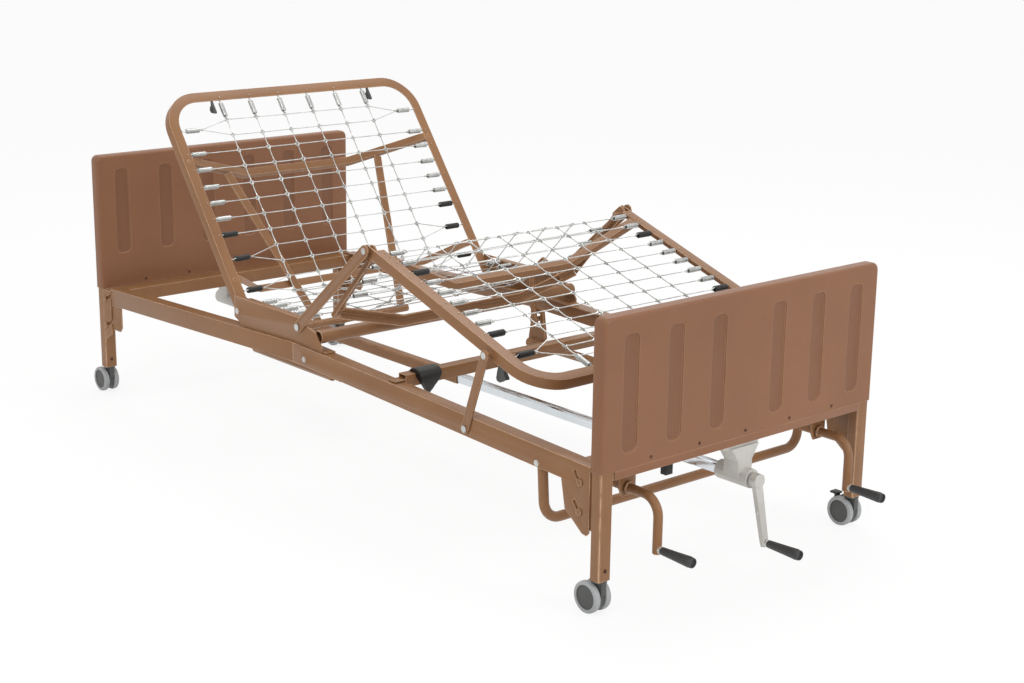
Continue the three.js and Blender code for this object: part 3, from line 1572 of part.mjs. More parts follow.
// Casters: the far foot one and the far head one have a brake pedal
const casterPlaces = [
  ["foot_near", endCentreX, -postCentreY, false],
  ["foot_far", endCentreX, postCentreY, true],
  ["head_near", -endCentreX, -postCentreY, false],
  ["head_far", -endCentreX, postCentreY, true],
];
for (const [corner, x, y, hasPedal] of casterPlaces) {
  const caster = new THREE.Group();
  caster.position.set(x, y, 0);
  bed.add(caster);
  addPart(caster, `caster_hood_${corner}`, casterHood(hasPedal), casterPlastic);
  addPart(caster, `caster_wheels_${corner}`, wheelPair(), greyTyre);
  if (hasPedal) addPart(caster, `brake_pedal_${corner}`, brakePedal(), blackPlastic);
}

const hospitalBed = new THREE.Group();
hospitalBed.add(bed);
export default hospitalBed;
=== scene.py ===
import json
import math
import random
import bpy
import bmesh
from mathutils import Matrix, Vector

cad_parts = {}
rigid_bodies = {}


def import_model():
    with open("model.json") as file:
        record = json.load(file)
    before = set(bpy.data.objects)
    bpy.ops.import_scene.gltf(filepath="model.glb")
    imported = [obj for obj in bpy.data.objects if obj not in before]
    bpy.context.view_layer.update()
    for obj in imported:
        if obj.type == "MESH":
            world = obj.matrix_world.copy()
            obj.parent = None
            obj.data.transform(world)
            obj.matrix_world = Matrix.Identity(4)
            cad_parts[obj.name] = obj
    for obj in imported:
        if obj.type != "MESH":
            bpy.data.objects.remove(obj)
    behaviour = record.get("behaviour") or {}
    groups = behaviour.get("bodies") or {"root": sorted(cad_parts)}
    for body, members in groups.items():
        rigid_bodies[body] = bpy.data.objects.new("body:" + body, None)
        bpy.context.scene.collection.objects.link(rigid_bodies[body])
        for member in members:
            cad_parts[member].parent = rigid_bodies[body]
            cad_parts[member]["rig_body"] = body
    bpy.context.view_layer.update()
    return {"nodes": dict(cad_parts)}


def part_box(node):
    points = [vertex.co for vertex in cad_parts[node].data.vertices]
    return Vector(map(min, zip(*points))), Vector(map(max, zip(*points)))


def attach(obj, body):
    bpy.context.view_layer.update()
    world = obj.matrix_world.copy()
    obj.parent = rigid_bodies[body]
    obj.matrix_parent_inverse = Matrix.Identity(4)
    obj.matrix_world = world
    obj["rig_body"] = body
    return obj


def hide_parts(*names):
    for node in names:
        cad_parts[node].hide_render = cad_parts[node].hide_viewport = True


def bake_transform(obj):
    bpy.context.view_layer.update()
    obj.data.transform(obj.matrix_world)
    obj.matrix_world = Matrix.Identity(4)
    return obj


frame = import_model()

scene = bpy.context.scene
nodes = frame["nodes"]
millimetre = 0.001
footPanelLow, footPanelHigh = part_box("foot_panel")
fullTurn = 2 * math.pi
panelAlong = 1098.5  # from the bed's own middle to the middle of either panel, mm
deckShift = (footPanelLow[0] + footPanelHigh[0]) / 2 / millimetre - panelAlong  # bed's own X to the frame's X
print("frame loaded:", len(nodes), "solids")


view = {
    "place": (3.672, -2.9945, 1.6021),
    "turn": (75.018, -0.754, 49.225),  # degrees
    "lens": 63.15,
    "sensor": 36,
    "backdrop": (1.0, 1.0, 1.0, 1.0),
    "skyLight": 0.80,
    "floorColour": (0.9, 0.9, 0.895, 1.0),
    "floorWhite": 0.85,  # share of plain white that the camera sees in the floor
    "floorSize": 30,
    "floorDrop": 0.0005,  # keeps the floor just under the wheels
    "floorRough": 0.7,
    "floorGloss": 0.2,
    "lamps": [  # name, place, aimed at, size, watts
        ("key", (1.6, -3.4, 4.2), (0.1, 0.0, 0.4), 2.6, 50),
        ("side", (4.6, 0.8, 2.4), (0.3, 0.0, 0.4), 2.2, 52),
        ("top", (-0.8, 1.4, 4.6), (0.0, 0.0, 0.4), 3.0, 70),
    ],
}


def addCamera():
    lens = bpy.data.cameras.new("photoCamera")
    lens.lens = view["lens"]
    lens.sensor_width = view["sensor"]
    camera = bpy.data.objects.new("photoCamera", lens)
    camera.location = view["place"]
    camera.rotation_euler = [math.radians(angle) for angle in view["turn"]]
    scene.collection.objects.link(camera)
    scene.camera = camera


def addLamps():
    for name, place, target, size, watts in view["lamps"]:
        lamp = bpy.data.lights.new(name, "AREA")
        lamp.shape = "DISK"
        lamp.size = size
        lamp.energy = watts
        holder = bpy.data.objects.new(name, lamp)
        holder.location = place
        holder.rotation_mode = "QUATERNION"
        holder.rotation_quaternion = (Vector(target) - Vector(place)).to_track_quat("-Z", "Y")
        scene.collection.objects.link(holder)


def feed(tree, value, socket):  # a link, or a plain value
    if isinstance(value, bpy.types.NodeSocket):
        tree.links.new(value, socket)
    else:
        socket.default_value = value


def setInputs(node, **values):  # by name, with _ for each space
    for label, value in values.items():
        node.inputs[label.replace("_", " ")].default_value = value


def addMath(tree, operation, first, second):
    node = tree.nodes.new("ShaderNodeMath")
    node.operation = operation
    feed(tree, first, node.inputs[0])
    feed(tree, second, node.inputs[1])
    return node.outputs[0]


def mixShaders(tree, share, first, second, target):
    mix = tree.nodes.new("ShaderNodeMixShader")
    tree.links.new(share, mix.inputs["Fac"])
    tree.links.new(first.outputs[0], mix.inputs[1])
    tree.links.new(second.outputs[0], mix.inputs[2])
    tree.links.new(mix.outputs[0], tree.nodes[target].inputs["Surface"])


def seenDirectly(tree):  # 1 where the camera, a reflection or glass looks straight at it
    path = tree.nodes.new("ShaderNodeLightPath").outputs
    glossy = addMath(tree, "MAXIMUM", path["Is Camera Ray"], path["Is Glossy Ray"])
    return addMath(tree, "MAXIMUM", glossy, path["Is Transmission Ray"])


def addRoom():
    world = bpy.data.worlds.new("studio")
    scene.world = world
    world.use_nodes = True
    tree = world.node_tree
    sky = tree.nodes["Background"]
    setInputs(sky, Color=(1.0, 1.0, 1.0, 1.0), Strength=view["skyLight"])
    seen = tree.nodes.new("ShaderNodeBackground")
    setInputs(seen, Color=view["backdrop"], Strength=1.0)
    mixShaders(tree, seenDirectly(tree), sky, seen, "World Output")

    floorMesh = bmesh.new()
    bmesh.ops.create_grid(floorMesh, x_segments=2, y_segments=2, size=view["floorSize"])
    bmesh.ops.translate(floorMesh, vec=(0, 0, -view["floorDrop"]), verts=floorMesh.verts)
    mesh = bpy.data.meshes.new("floor")
    floorMesh.to_mesh(mesh)
    floorMesh.free()
    floor = bpy.data.objects.new("floor", mesh)
    scene.collection.objects.link(floor)
    paint = bpy.data.materials.new("paleFloor")
    paint.use_nodes = True
    tree = paint.node_tree
    surface = tree.nodes["Principled BSDF"]
    setInputs(
        surface, Base_Color=view["floorColour"], Roughness=view["floorRough"],
        Specular_IOR_Level=view["floorGloss"],
    )
    glow = tree.nodes.new("ShaderNodeEmission")
    setInputs(glow, Strength=1.0)
    share = addMath(tree, "MULTIPLY", seenDirectly(tree), view["floorWhite"])
    mixShaders(tree, share, surface, glow, "Material Output")
    mesh.materials.append(paint)


scene.view_settings.view_transform = "Standard"
addCamera()
addLamps()
addRoom()
print("camera, lamps and room ready")


def newGroup(name, inputs, outputs):  # the group, its given values, its results and the Object coordinates
    group = bpy.data.node_groups.new(name, "ShaderNodeTree")
    for label, kind, value in inputs:
        socket = group.interface.new_socket(label, in_out="INPUT", socket_type=kind)
        socket.default_value = value
    for label, kind in outputs:
        group.interface.new_socket(label, in_out="OUTPUT", socket_type=kind)
    given, results = group.nodes.new("NodeGroupInput").outputs, group.nodes.new("NodeGroupOutput").inputs
    return group, given, results, group.nodes.new("ShaderNodeTexCoord").outputs["Object"]


def addNoise(tree, vector, scale, detail=3.0, roughness=0.5):
    noise = tree.nodes.new("ShaderNodeTexNoise")
    setInputs(noise, Detail=detail, Roughness=roughness)
    tree.links.new(vector, noise.inputs["Vector"])
    feed(tree, scale, noise.inputs["Scale"])
    return noise.outputs["Fac"]


def addRange(tree, value, low, high, toLow=0.0, toHigh=1.0):
    span = tree.nodes.new("ShaderNodeMapRange")
    setInputs(span, From_Min=low, From_Max=high, To_Min=toLow, To_Max=toHigh)
    tree.links.new(value, span.inputs["Value"])
    return span.outputs["Result"]


def addMix(tree, factor, first, second):
    node = tree.nodes.new("ShaderNodeMix")
    node.data_type = "RGBA"
    for place, value in ((0, factor), (6, first), (7, second)):
        feed(tree, value, node.inputs[place])
    return node.outputs[2]


effects = {
    "bevelSamples": 4,
    "edgeNormalAgreement": (0.995, 0.86),  # how far the rounded and the flat normal agree, from no edge mark to a full one of wear and painted highlight
    "patches": (0.25, 0.52),
    "patchesPerCloud": 6,
    "cloud": (0.3, 0.7),
    "speck": (0.35, 0.75),
    "speckFiner": 23.0,  # specks are this many times finer than the cloud
    "speckShare": 0.22,
    "lineTone": (0.35, 0.75, 0.0, 0.35),
    "lineRough": (0.3, 0.7, -0.04, 0.06),
    "bumpDepth": 0.001,
    "coatRough": 0.22,
    "gloss": 0.5, "metal": 0.0, "coat": 0.0,  # where a finish names none
}


def makeEdgeWearAndHighlight():  # bright along corners, in patches: partly rubbed wear, partly a painted highlight for light caught on rounded edges
    tree, given, out, place = newGroup(
        "edgeWear",
        [("Radius", "NodeSocketFloat", 0.002), ("Patches", "NodeSocketFloat", 18.0)],
        [("Mask", "NodeSocketFloat")],
    )
    rounded = tree.nodes.new("ShaderNodeBevel")
    rounded.samples = effects["bevelSamples"]
    tree.links.new(given["Radius"], rounded.inputs["Radius"])
    flat = tree.nodes.new("ShaderNodeNewGeometry")
    match = tree.nodes.new("ShaderNodeVectorMath")
    match.operation = "DOT_PRODUCT"
    tree.links.new(rounded.outputs["Normal"], match.inputs[0])
    tree.links.new(flat.outputs["Normal"], match.inputs[1])
    edge = addRange(tree, match.outputs["Value"], *effects["edgeNormalAgreement"])
    patches = addNoise(tree, place, given["Patches"], 4.0, 0.65)
    mask = addMath(tree, "MULTIPLY", edge, addRange(tree, patches, *effects["patches"]))
    tree.links.new(mask, out["Mask"])
    return tree


def makeSurfaceGrain():  # fine grain for bump and a slow cloud for colour
    tree, given, out, place = newGroup(
        "surfaceGrain",
        [("Grain Scale", "NodeSocketFloat", 900.0), ("Cloud Scale", "NodeSocketFloat", 5.0)],
        [("Grain", "NodeSocketFloat"), ("Cloud", "NodeSocketFloat"), ("Speck", "NodeSocketFloat")],
    )
    grain = addNoise(tree, place, given["Grain Scale"], 2.0)
    cloud = addNoise(tree, place, given["Cloud Scale"], 5.0, 0.6)
    fine = addMath(tree, "MULTIPLY", given["Cloud Scale"], effects["speckFiner"])
    speck = addNoise(tree, place, fine, 6.0, 0.7)
    tree.links.new(grain, out["Grain"])
    tree.links.new(addRange(tree, cloud, *effects["cloud"]), out["Cloud"])
    tree.links.new(addRange(tree, speck, *effects["speck"]), out["Speck"])
    return tree


def makeDrawnLines():  # fine lines along one axis, as on drawn wire and rolled tube
    tree, given, out, place = newGroup(
        "drawnLines",
        [("Stretch", "NodeSocketVector", (4.0, 700.0, 700.0))],
        [("Lines", "NodeSocketFloat")],
    )
    scaled = tree.nodes.new("ShaderNodeVectorMath")
    scaled.operation = "MULTIPLY"
    tree.links.new(place, scaled.inputs[0])
    tree.links.new(given["Stretch"], scaled.inputs[1])
    tree.links.new(addNoise(tree, scaled.outputs[0], 1.0, 2.0), out["Lines"])
    return tree


edgeWear = makeEdgeWearAndHighlight()
surfaceGrain = makeSurfaceGrain()
drawnLines = makeDrawnLines()


def useGroup(tree, group, **values):
    node = tree.nodes.new("ShaderNodeGroup")
    node.node_tree = group
    setInputs(node, **values)
    return node.outputs


finishes = {  # colours linear, lengths in metres, "grain", "cloud" and "lines" per metre
    "brown_enamel": {
        # on the two enamels the bright edge colour and its strength paint highlight lines along every edge,
        # besides real wear
        "base": (0.272, 0.133, 0.057, 1), "deep": (0.220, 0.104, 0.044, 1), "wornAndHighlight": (0.76, 0.51, 0.34, 1),
        "rough": (0.32, 0.46), "grain": 750.0, "cloud": 4.0, "bump": 0.10, "wearAndHighlight": 1.0,
        "edge": 0.0024, "coat": 0.06, "gloss": 0.28,
    },
    "panel_enamel": {
        "base": (0.245, 0.108, 0.051, 1), "deep": (0.205, 0.088, 0.041, 1), "wornAndHighlight": (0.50, 0.30, 0.19, 1),
        "rough": (0.40, 0.52), "grain": 520.0, "cloud": 2.2, "bump": 0.08, "wearAndHighlight": 0.70,
        "edge": 0.0026, "coat": 0.06, "gloss": 0.34,
    },
    # darker enamel for the panels' recess floors: painted shade where the pressing sinks in
    "recess_enamel": {
        "base": (0.202, 0.088, 0.042, 1), "deep": (0.174, 0.074, 0.035, 1), "wornAndHighlight": (0.40, 0.23, 0.14, 1),
        "rough": (0.44, 0.56), "grain": 520.0, "cloud": 2.2, "bump": 0.08, "wearAndHighlight": 0.50,
        "edge": 0.0026, "coat": 0.04, "gloss": 0.34,
    },
    "zinc": {
        "base": (0.74, 0.75, 0.73, 1), "deep": (0.40, 0.405, 0.39, 1), "wornAndHighlight": (0.92, 0.92, 0.90, 1),
        "rough": (0.26, 0.42), "metal": 0.9, "grain": 1500.0, "cloud": 38.0, "bump": 0.06, "wearAndHighlight": 0.5,
        "edge": 0.0008, "lines": (30.0, 900.0, 900.0),
    },
    "chrome": {
        "base": (0.80, 0.83, 0.85, 1), "deep": (0.62, 0.66, 0.69, 1), "wornAndHighlight": (0.90, 0.90, 0.90, 1),
        "rough": (0.10, 0.24), "metal": 1.0, "grain": 1200.0, "cloud": 6.0, "bump": 0.03, "wearAndHighlight": 0.3,
        "edge": 0.001, "lines": (3.0, 800.0, 800.0),
    },
    "cast_aluminium": {
        "base": (0.56, 0.545, 0.51, 1), "deep": (0.45, 0.435, 0.405, 1), "wornAndHighlight": (0.68, 0.67, 0.64, 1),
        "rough": (0.38, 0.56), "metal": 0.35, "grain": 420.0, "cloud": 14.0, "bump": 0.22, "wearAndHighlight": 0.6,
        "edge": 0.0025,
    },
    "black_rubber": {
        "base": (0.044, 0.044, 0.044, 1), "deep": (0.028, 0.028, 0.028, 1), "wornAndHighlight": (0.10, 0.098, 0.094, 1),
        "rough": (0.42, 0.60), "grain": 900.0, "cloud": 16.0, "bump": 0.16, "wearAndHighlight": 0.5,
        "edge": 0.0015,
    },
    "black_plastic": {
        "base": (0.022, 0.020, 0.018, 1), "deep": (0.013, 0.012, 0.011, 1), "wornAndHighlight": (0.07, 0.065, 0.06, 1),
        "rough": (0.40, 0.56), "grain": 700.0, "cloud": 12.0, "bump": 0.14, "wearAndHighlight": 0.45,
        "edge": 0.0015, "gloss": 0.34,
    },
    "caster_plastic": {
        "base": (0.070, 0.073, 0.068, 1), "deep": (0.048, 0.050, 0.047, 1), "wornAndHighlight": (0.15, 0.152, 0.145, 1),
        "rough": (0.38, 0.52), "grain": 800.0, "cloud": 14.0, "bump": 0.12, "wearAndHighlight": 0.45,
        "edge": 0.0012,
    },
    "grey_tyre": {
        "base": (0.39, 0.40, 0.405, 1), "deep": (0.31, 0.318, 0.322, 1), "wornAndHighlight": (0.30, 0.29, 0.28, 1),
        "rough": (0.55, 0.72), "grain": 650.0, "cloud": 18.0, "bump": 0.14, "wearAndHighlight": 0.4,
        "edge": 0.0015,
    },
    "dark_steel": {
        "base": (0.100, 0.040, 0.022, 1), "deep": (0.060, 0.024, 0.014, 1), "wornAndHighlight": (0.20, 0.11, 0.07, 1),
        "rough": (0.46, 0.62), "grain": 1400.0, "cloud": 30.0, "bump": 0.10, "wearAndHighlight": 0.7,
        "edge": 0.0006, "gloss": 0.2, "slot": "zinc",
    },
}


def makeFinish(name, finish):
    material = bpy.data.materials.new(name + "_finish")
    material.use_nodes = True
    tree = material.node_tree
    surface = tree.nodes["Principled BSDF"]
    grain = useGroup(tree, surfaceGrain, Grain_Scale=finish["grain"], Cloud_Scale=finish["cloud"])
    patches = finish["cloud"] * effects["patchesPerCloud"]
    wearAndHighlight = useGroup(tree, edgeWear, Radius=finish["edge"], Patches=patches)
    tone = addMix(tree, grain["Cloud"], finish["deep"], finish["base"])
    speck = addMath(tree, "MULTIPLY", grain["Speck"], effects["speckShare"])
    tone = addMix(tree, speck, tone, finish["deep"])
    # edge colour laid on through the edge mask: wear, and on the enamels a painted highlight
    wornAndHighlight = addMath(tree, "MULTIPLY", wearAndHighlight["Mask"], finish["wearAndHighlight"])
    tone = addMix(tree, wornAndHighlight, tone, finish["wornAndHighlight"])
    height = grain["Grain"]
    rough = addRange(tree, grain["Speck"], 0.0, 1.0, *finish["rough"])
    if "lines" in finish:
        lines = useGroup(tree, drawnLines, Stretch=finish["lines"])["Lines"]
        height = addMath(tree, "ADD", height, lines)
        tone = addMix(tree, addRange(tree, lines, *effects["lineTone"]), tone, finish["deep"])
        rough = addMath(tree, "ADD", rough, addRange(tree, lines, *effects["lineRough"]))
    bump = tree.nodes.new("ShaderNodeBump")
    setInputs(bump, Strength=finish["bump"], Distance=effects["bumpDepth"])
    tree.links.new(height, bump.inputs["Height"])
    tree.links.new(tone, surface.inputs["Base Color"])
    tree.links.new(rough, surface.inputs["Roughness"])
    tree.links.new(bump.outputs["Normal"], surface.inputs["Normal"])
    metal, gloss, coat = (finish.get(name, effects[name]) for name in ("metal", "gloss", "coat"))
    setInputs(surface, Metallic=metal, Specular_IOR_Level=gloss, Coat_Weight=coat)
    setInputs(surface, Coat_Roughness=effects["coatRough"])
    return material


materials = {name: makeFinish(name, finish) for name, finish in finishes.items()}
print("finishes ready:", len(materials))


def alongBed(x, z, turn=0.0):  # a section's own place on the bed, mm and radians to the frame
    return (
        Matrix.Translation(Vector((x + deckShift, 0, z)) * millimetre)
        @ Matrix.Rotation(turn, 4, "Y")
        @ Matrix.Scale(millimetre, 4)
    )


bedPlace = alongBed(0, 0)
toFrame = Matrix.Scale(millimetre, 4)


def finishPiece(bm, name, body, finish, place=None, replaced=(), sharpAngle=38):
    if place is not None:
        bmesh.ops.transform(bm, matrix=place, verts=bm.verts)
    bmesh.ops.recalc_face_normals(bm, faces=bm.faces)
    mesh = bpy.data.meshes.new(name)
    bm.to_mesh(mesh)
    bm.free()
    names = finish if isinstance(finish, tuple) else (finish,)
    for each in names:
        mesh.materials.append(materials[each])
    mesh.shade_smooth()
    mesh.set_sharp_from_angle(angle=math.radians(sharpAngle))
    piece = bpy.data.objects.new(name, mesh)
    scene.collection.objects.link(piece)
    if body is not None:
        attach(piece, body)
    if replaced:
        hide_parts(*replaced)
    return piece


def roundSection(radius, sides):
    turns = [fullTurn * (step + 0.5) / sides for step in range(sides)]
    return [(radius * math.cos(turn), radius * math.sin(turn)) for turn in turns]


def vertsOf(items):
    return [item for item in items if isinstance(item, bmesh.types.BMVert)]


def edgesOf(items):
    return [item for item in items if isinstance(item, bmesh.types.BMEdge)]


def pushOn(bm, edges, step):  # pulls an open end along by one straight run
    grown = bmesh.ops.extrude_edge_only(bm, edges=edges)["geom"]
    bmesh.ops.translate(bm, vec=step, verts=vertsOf(grown))
    return [edge for edge in edgesOf(grown) if edge.is_boundary]


def bendBar(bm, section, points, bend=0.0, arcSteps=6, up=(0, 0, 1)):  # a bar or wire with rounded bends
    points = [Vector(point) for point in points]
    run = (points[1] - points[0]).normalized()
    side = run.cross(Vector(up)).normalized()
    top = side.cross(run)
    start = bm.faces.new([bm.verts.new(points[0] + side * a + top * b) for a, b in section])
    edges = list(start.edges)
    at = points[0]
    for before, corner, after in zip(points, points[1:], points[2:] + [None]):
        run = (corner - before).normalized()
        onward = (after - corner).normalized() if after is not None else run
        turn = run.angle(onward)
        setBack = bend * math.tan(turn / 2)
        stop = corner - run * setBack
        if (stop - at).length > 1e-3:
            edges = pushOn(bm, edges, stop - at)
        if turn > 1e-4:
            axis = run.cross(onward).normalized()
            centre = stop + axis.cross(run) * bend
            spun = bmesh.ops.spin(bm, geom=edges, cent=centre, axis=axis, angle=turn, steps=arcSteps)
            edges = edgesOf(spun["geom_last"])
        at = corner + onward * setBack
    bmesh.ops.edgeloop_fill(bm, edges=edges)


def plate(bm, outline, thickness):  # a flat outline given its thickness
    face = bm.faces.new([bm.verts.new(point) for point in outline])
    grown = bmesh.ops.extrude_face_region(bm, geom=[face])["geom"]
    bmesh.ops.translate(bm, vec=thickness, verts=vertsOf(grown))


# (along, radius) pairs, turned on a lathe round an axis through the origin
def turnProfile(bm, profile, origin, axis, steps=32, finishIndex=0):
    axis = Vector(axis).normalized()
    side = axis.orthogonal().normalized()
    verts = [bm.verts.new(Vector(origin) + axis * along + side * radius) for along, radius in profile]
    edges = [bm.edges.new(pair) for pair in zip(verts, verts[1:])]
    before = set(bm.faces)
    bmesh.ops.spin(
        bm, geom=verts + edges, cent=origin, axis=axis, angle=fullTurn, steps=steps, use_merge=True,
    )
    made = [face for face in bm.faces if face not in before]
    for face in made:
        face.material_index = finishIndex
    around = list({vert for face in made for vert in face.verts})
    bmesh.ops.remove_doubles(bm, verts=around, dist=0.01)


def stamp(bm, part, place):  # adds a copy of a finished mesh
    part.transform(place)
    bm.from_mesh(part)
    part.transform(place.inverted())


def breakEdges(bm, edges, width, segments, **choices):
    bmesh.ops.bevel(
        bm, geom=edges, offset=width, offset_type="OFFSET", affect="EDGES", segments=segments, profile=0.5,
        material=-1, **choices,
    )


def roundRims(bm, width):
    breakEdges(bm, [edge for edge in bm.edges if edge.calc_face_angle(0) > math.radians(60)], width, 3)


def keepMesh(bm, name):
    mesh = bpy.data.meshes.new(name)
    bm.to_mesh(mesh)
    bm.free()
    return mesh


softening = {"merge": 0.00002, "flat": 0.6, "corner": 24, "smooth": 50}  # metres, then degrees


def soften(nodeName, pieceName, finish, width, beyond=None):  # a solid with its edges broken
    bm = bmesh.new()
    bm.from_mesh(nodes[nodeName].data)
    bmesh.ops.remove_doubles(bm, verts=bm.verts, dist=softening["merge"])
    bmesh.ops.dissolve_limit(bm, angle_limit=math.radians(softening["flat"]), verts=bm.verts, edges=bm.edges)
    for face in bm.faces:
        face.material_index = 0
        if beyond is not None and min(abs(vert.co.y) for vert in face.verts) > beyond * millimetre:
            face.material_index = 1  # bolt heads stand outside the sheet
    corner = math.radians(softening["corner"])
    sharp = [edge for edge in bm.edges if len(edge.link_faces) == 2 and edge.calc_face_angle(0) > corner]
    breakEdges(bm, sharp, width * millimetre, 2, clamp_overlap=True)
    names = (finish, "zinc") if beyond is not None else finish
    body = nodes[nodeName]["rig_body"]
    finishPiece(bm, pieceName, body, names, replaced=(nodeName,), sharpAngle=softening["smooth"])


panel = {
    "halfWidth": 457, "bottom": 330.6, "halfDepth": 19, "corner": 17, "edge": 8, "edgeSteps": 5,
    "skirtTop": 330.2, "skirtBottom": 311.5, "skirtHalf": 415, "skirtSheet": 2.8, "skirtInset": 0.1,
    "skirtEdge": 0.5,
    "edgeLand": 0.6,  # flat rim outside the rounded edge
    "recessHalf": 23.5, "recessCorner": 16,
    "recessSteps": [  # in from the rim, depth
        (-0.6, 0), (0, 0), (0.6, 0.5), (1.2, 2.4), (1.9, 3.4), (2.9, 3.7),
    ],
    "screws": (-307, -153, 0, 153, 307), "screwHeight": 343,
}


# upright rectangle as an open loop, its last corners rounded
def roundedLoop(bm, x, centre, half, low, high, radius, rounded=4):
    before = set(bm.faces)
    corners = [(-half, low), (half, low), (half, high), (-half, high)]
    verts = [bm.verts.new((x, centre + y, z)) for y, z in corners]
    bm.faces.new(verts)
    bmesh.ops.bevel(
        bm, geom=verts[4 - rounded:], offset=radius, offset_type="OFFSET", affect="VERTICES",
        segments=6, profile=0.5, material=-1,
    )
    face = next(face for face in bm.faces if face not in before)
    edges = list(face.edges)
    bmesh.ops.delete(bm, geom=[face], context="FACES_ONLY")
    return edges


def stepLoop(bm, edges, middle, scale, shift):  # carries an open edge on by one step and resizes it
    edges = pushOn(bm, edges, shift)
    verts = list({vert for edge in edges for vert in edge.verts})
    bmesh.ops.scale(bm, vec=scale, space=Matrix.Translation(-Vector(middle)), verts=verts)
    return edges


def panelFace(bm, side, rim, places, low, high):  # one flat face with its pressed recesses
    half, tall = panel["recessHalf"], (high - low) / 2
    steps = panel["recessSteps"]
    edges = list(rim)
    for place in places:
        inset = steps[0][0]
        loop = roundedLoop(
            bm, side * panel["halfDepth"], place, half - inset, low + inset, high - inset,
            panel["recessCorner"] - inset,
        )
        edges += loop
        for (inset, depth), (nextInset, nextDepth) in zip(steps, steps[1:]):
            scale = (1, (half - nextInset) / (half - inset), (tall - nextInset) / (tall - inset))
            loop = stepLoop(bm, loop, (0, place, (low + high) / 2), scale, (side * (depth - nextDepth), 0, 0))
        # recess floors take the second, darker finish: painted shade
        for face in bmesh.ops.edgeloop_fill(bm, edges=loop)["faces"]:
            face.material_index = 1
    bmesh.ops.triangle_fill(bm, use_beauty=True, use_dissolve=False, edges=edges)


def makePanel(node, along, top, low, high, centres):
    bm = bmesh.new()
    edge, depth, bottom, half = panel["edge"], panel["halfDepth"], panel["bottom"], panel["halfWidth"]
    turns = [math.pi / 2 * step / panel["edgeSteps"] for step in range(panel["edgeSteps"] + 1)]
    shape = [(depth - edge + edge * math.sin(turn), edge * (1 - math.cos(turn))) for turn in turns]
    shape.append((depth, edge + panel["edgeLand"]))
    shape = [(-x, inset) for x, inset in reversed(shape)] + shape
    x, inset = shape[0]
    rim = roundedLoop(bm, x, 0, half - inset, bottom, top - inset, panel["corner"], 2)
    loop = rim
    for (x, inset), (nextX, nextInset) in zip(shape, shape[1:]):
        scale = (1, (half - nextInset) / (half - inset), (top - bottom - nextInset) / (top - bottom - inset))
        loop = stepLoop(bm, loop, (0, 0, bottom), scale, (nextX - x, 0, 0))
    places = [side * centre for centre in centres for side in (-1, 1)]
    panelFace(bm, -1, rim, places, low, high)
    panelFace(bm, 1, loop, places, low, high)
    # the second finish is the darker recess floor, a painted shade
    finishPiece(
        bm, node + "_pressing", "base", ("panel_enamel", "recess_enamel"), alongBed(along, 0), (node,), 30,
    )


def makePanelSkirt(name, along):  # narrow strips that close the channel under the panel
    bm = bmesh.new()
    half, bottom, top = panel["skirtHalf"], panel["skirtBottom"], panel["skirtTop"]
    for side in (-1, 1):
        outer = side * (panel["halfDepth"] - panel["skirtInset"])
        corners = [(-half, bottom), (half, bottom), (half, top), (-half, top)]
        plate(bm, [(outer, y, z) for y, z in corners], (-side * panel["skirtSheet"], 0, 0))
    breakEdges(bm, list(bm.edges), panel["skirtEdge"], 2)
    finishPiece(bm, name, "base", "panel_enamel", alongBed(along, 0))


panels = {  # solid: place, top, foot and head of the recesses, their middles on either side
    "foot_panel": (panelAlong, 677, 367, 635, (100, 237.75, 375.5)),
    "head_panel": (-panelAlong, 735, 432, 693, (75.1, 225.3, 375.5)),
}
for node, shape in panels.items():
    makePanel(node, *shape)
for node, shape in panels.items():
    makePanelSkirt(node + "_skirt", shape[0])
print("panels pressed")


iron = {"width": 30, "depth": 28, "sheet": 3, "edge": 0.9, "bendSteps": 12, "top": 10}
stiffener = {"depth": 20, "sheet": 3, "top": 7.5, "bend": 26, "bendSteps": 5}
sections = {  # turning point along the bed and above the floor, mm, and tilt at rest, degrees
    "back": (-335, 407, 53.2),
    "seat": (0, 0, 0),
    "thigh": (-41, 422, -40.5),
    "calf": (255.56, 675.28, 18.35),
}
sectionPlaces = {name: alongBed(x, z, math.radians(tilt)) for name, (x, z, tilt) in sections.items()}


def angleIron(width, depth, sheet):  # flat flange along +a or -a, upright flange hanging from a = 0
    edge = iron["edge"]
    half = edge / 2
    way = 1 if width > 0 else -1
    return [
        (0, -edge), (way * edge * 0.3, -edge * 0.3), (way * edge, 0),
        (width - way * half, 0), (width, -half), (width, -sheet + half), (width - way * half, -sheet),
        (way * sheet, -sheet), (way * sheet, -depth + half), (way * (sheet - half), -depth),
        (way * half, -depth), (0, -depth + half),
    ]


def bentFrame(bm, start, end, side, bend):  # three sides of angle iron with two rounded corners
    top = iron["top"]
    path = [(start, side, top), (end, side, top), (end, -side, top), (start, -side, top)]
    bendBar(bm, angleIron(iron["width"], iron["depth"], iron["sheet"]), path, bend, iron["bendSteps"])


def stiffenerBar(bm, x, width, endHalf, bendHalf, innerHalf, drop):  # a crossbar that dips in the middle
    top = stiffener["top"]
    path = [(x, -endHalf, top), (x, -bendHalf, top), (x, -innerHalf, top - drop)]
    path += [(point[0], -point[1], point[2]) for point in reversed(path)]
    section = angleIron(width, stiffener["depth"], stiffener["sheet"])
    bendBar(bm, section, path, stiffener["bend"], stiffener["bendSteps"])


def domeHead(bm, at, axis, radius, height, steps=16, finishIndex=0):  # rivet or button head
    profile = [(-0.6, 0), (-0.6, radius), (height * 0.35, radius)]
    profile += [(height * 0.75, radius * 0.78), (height, radius * 0.4), (height, 0)]
    turnProfile(bm, profile, at, axis, steps, finishIndex)


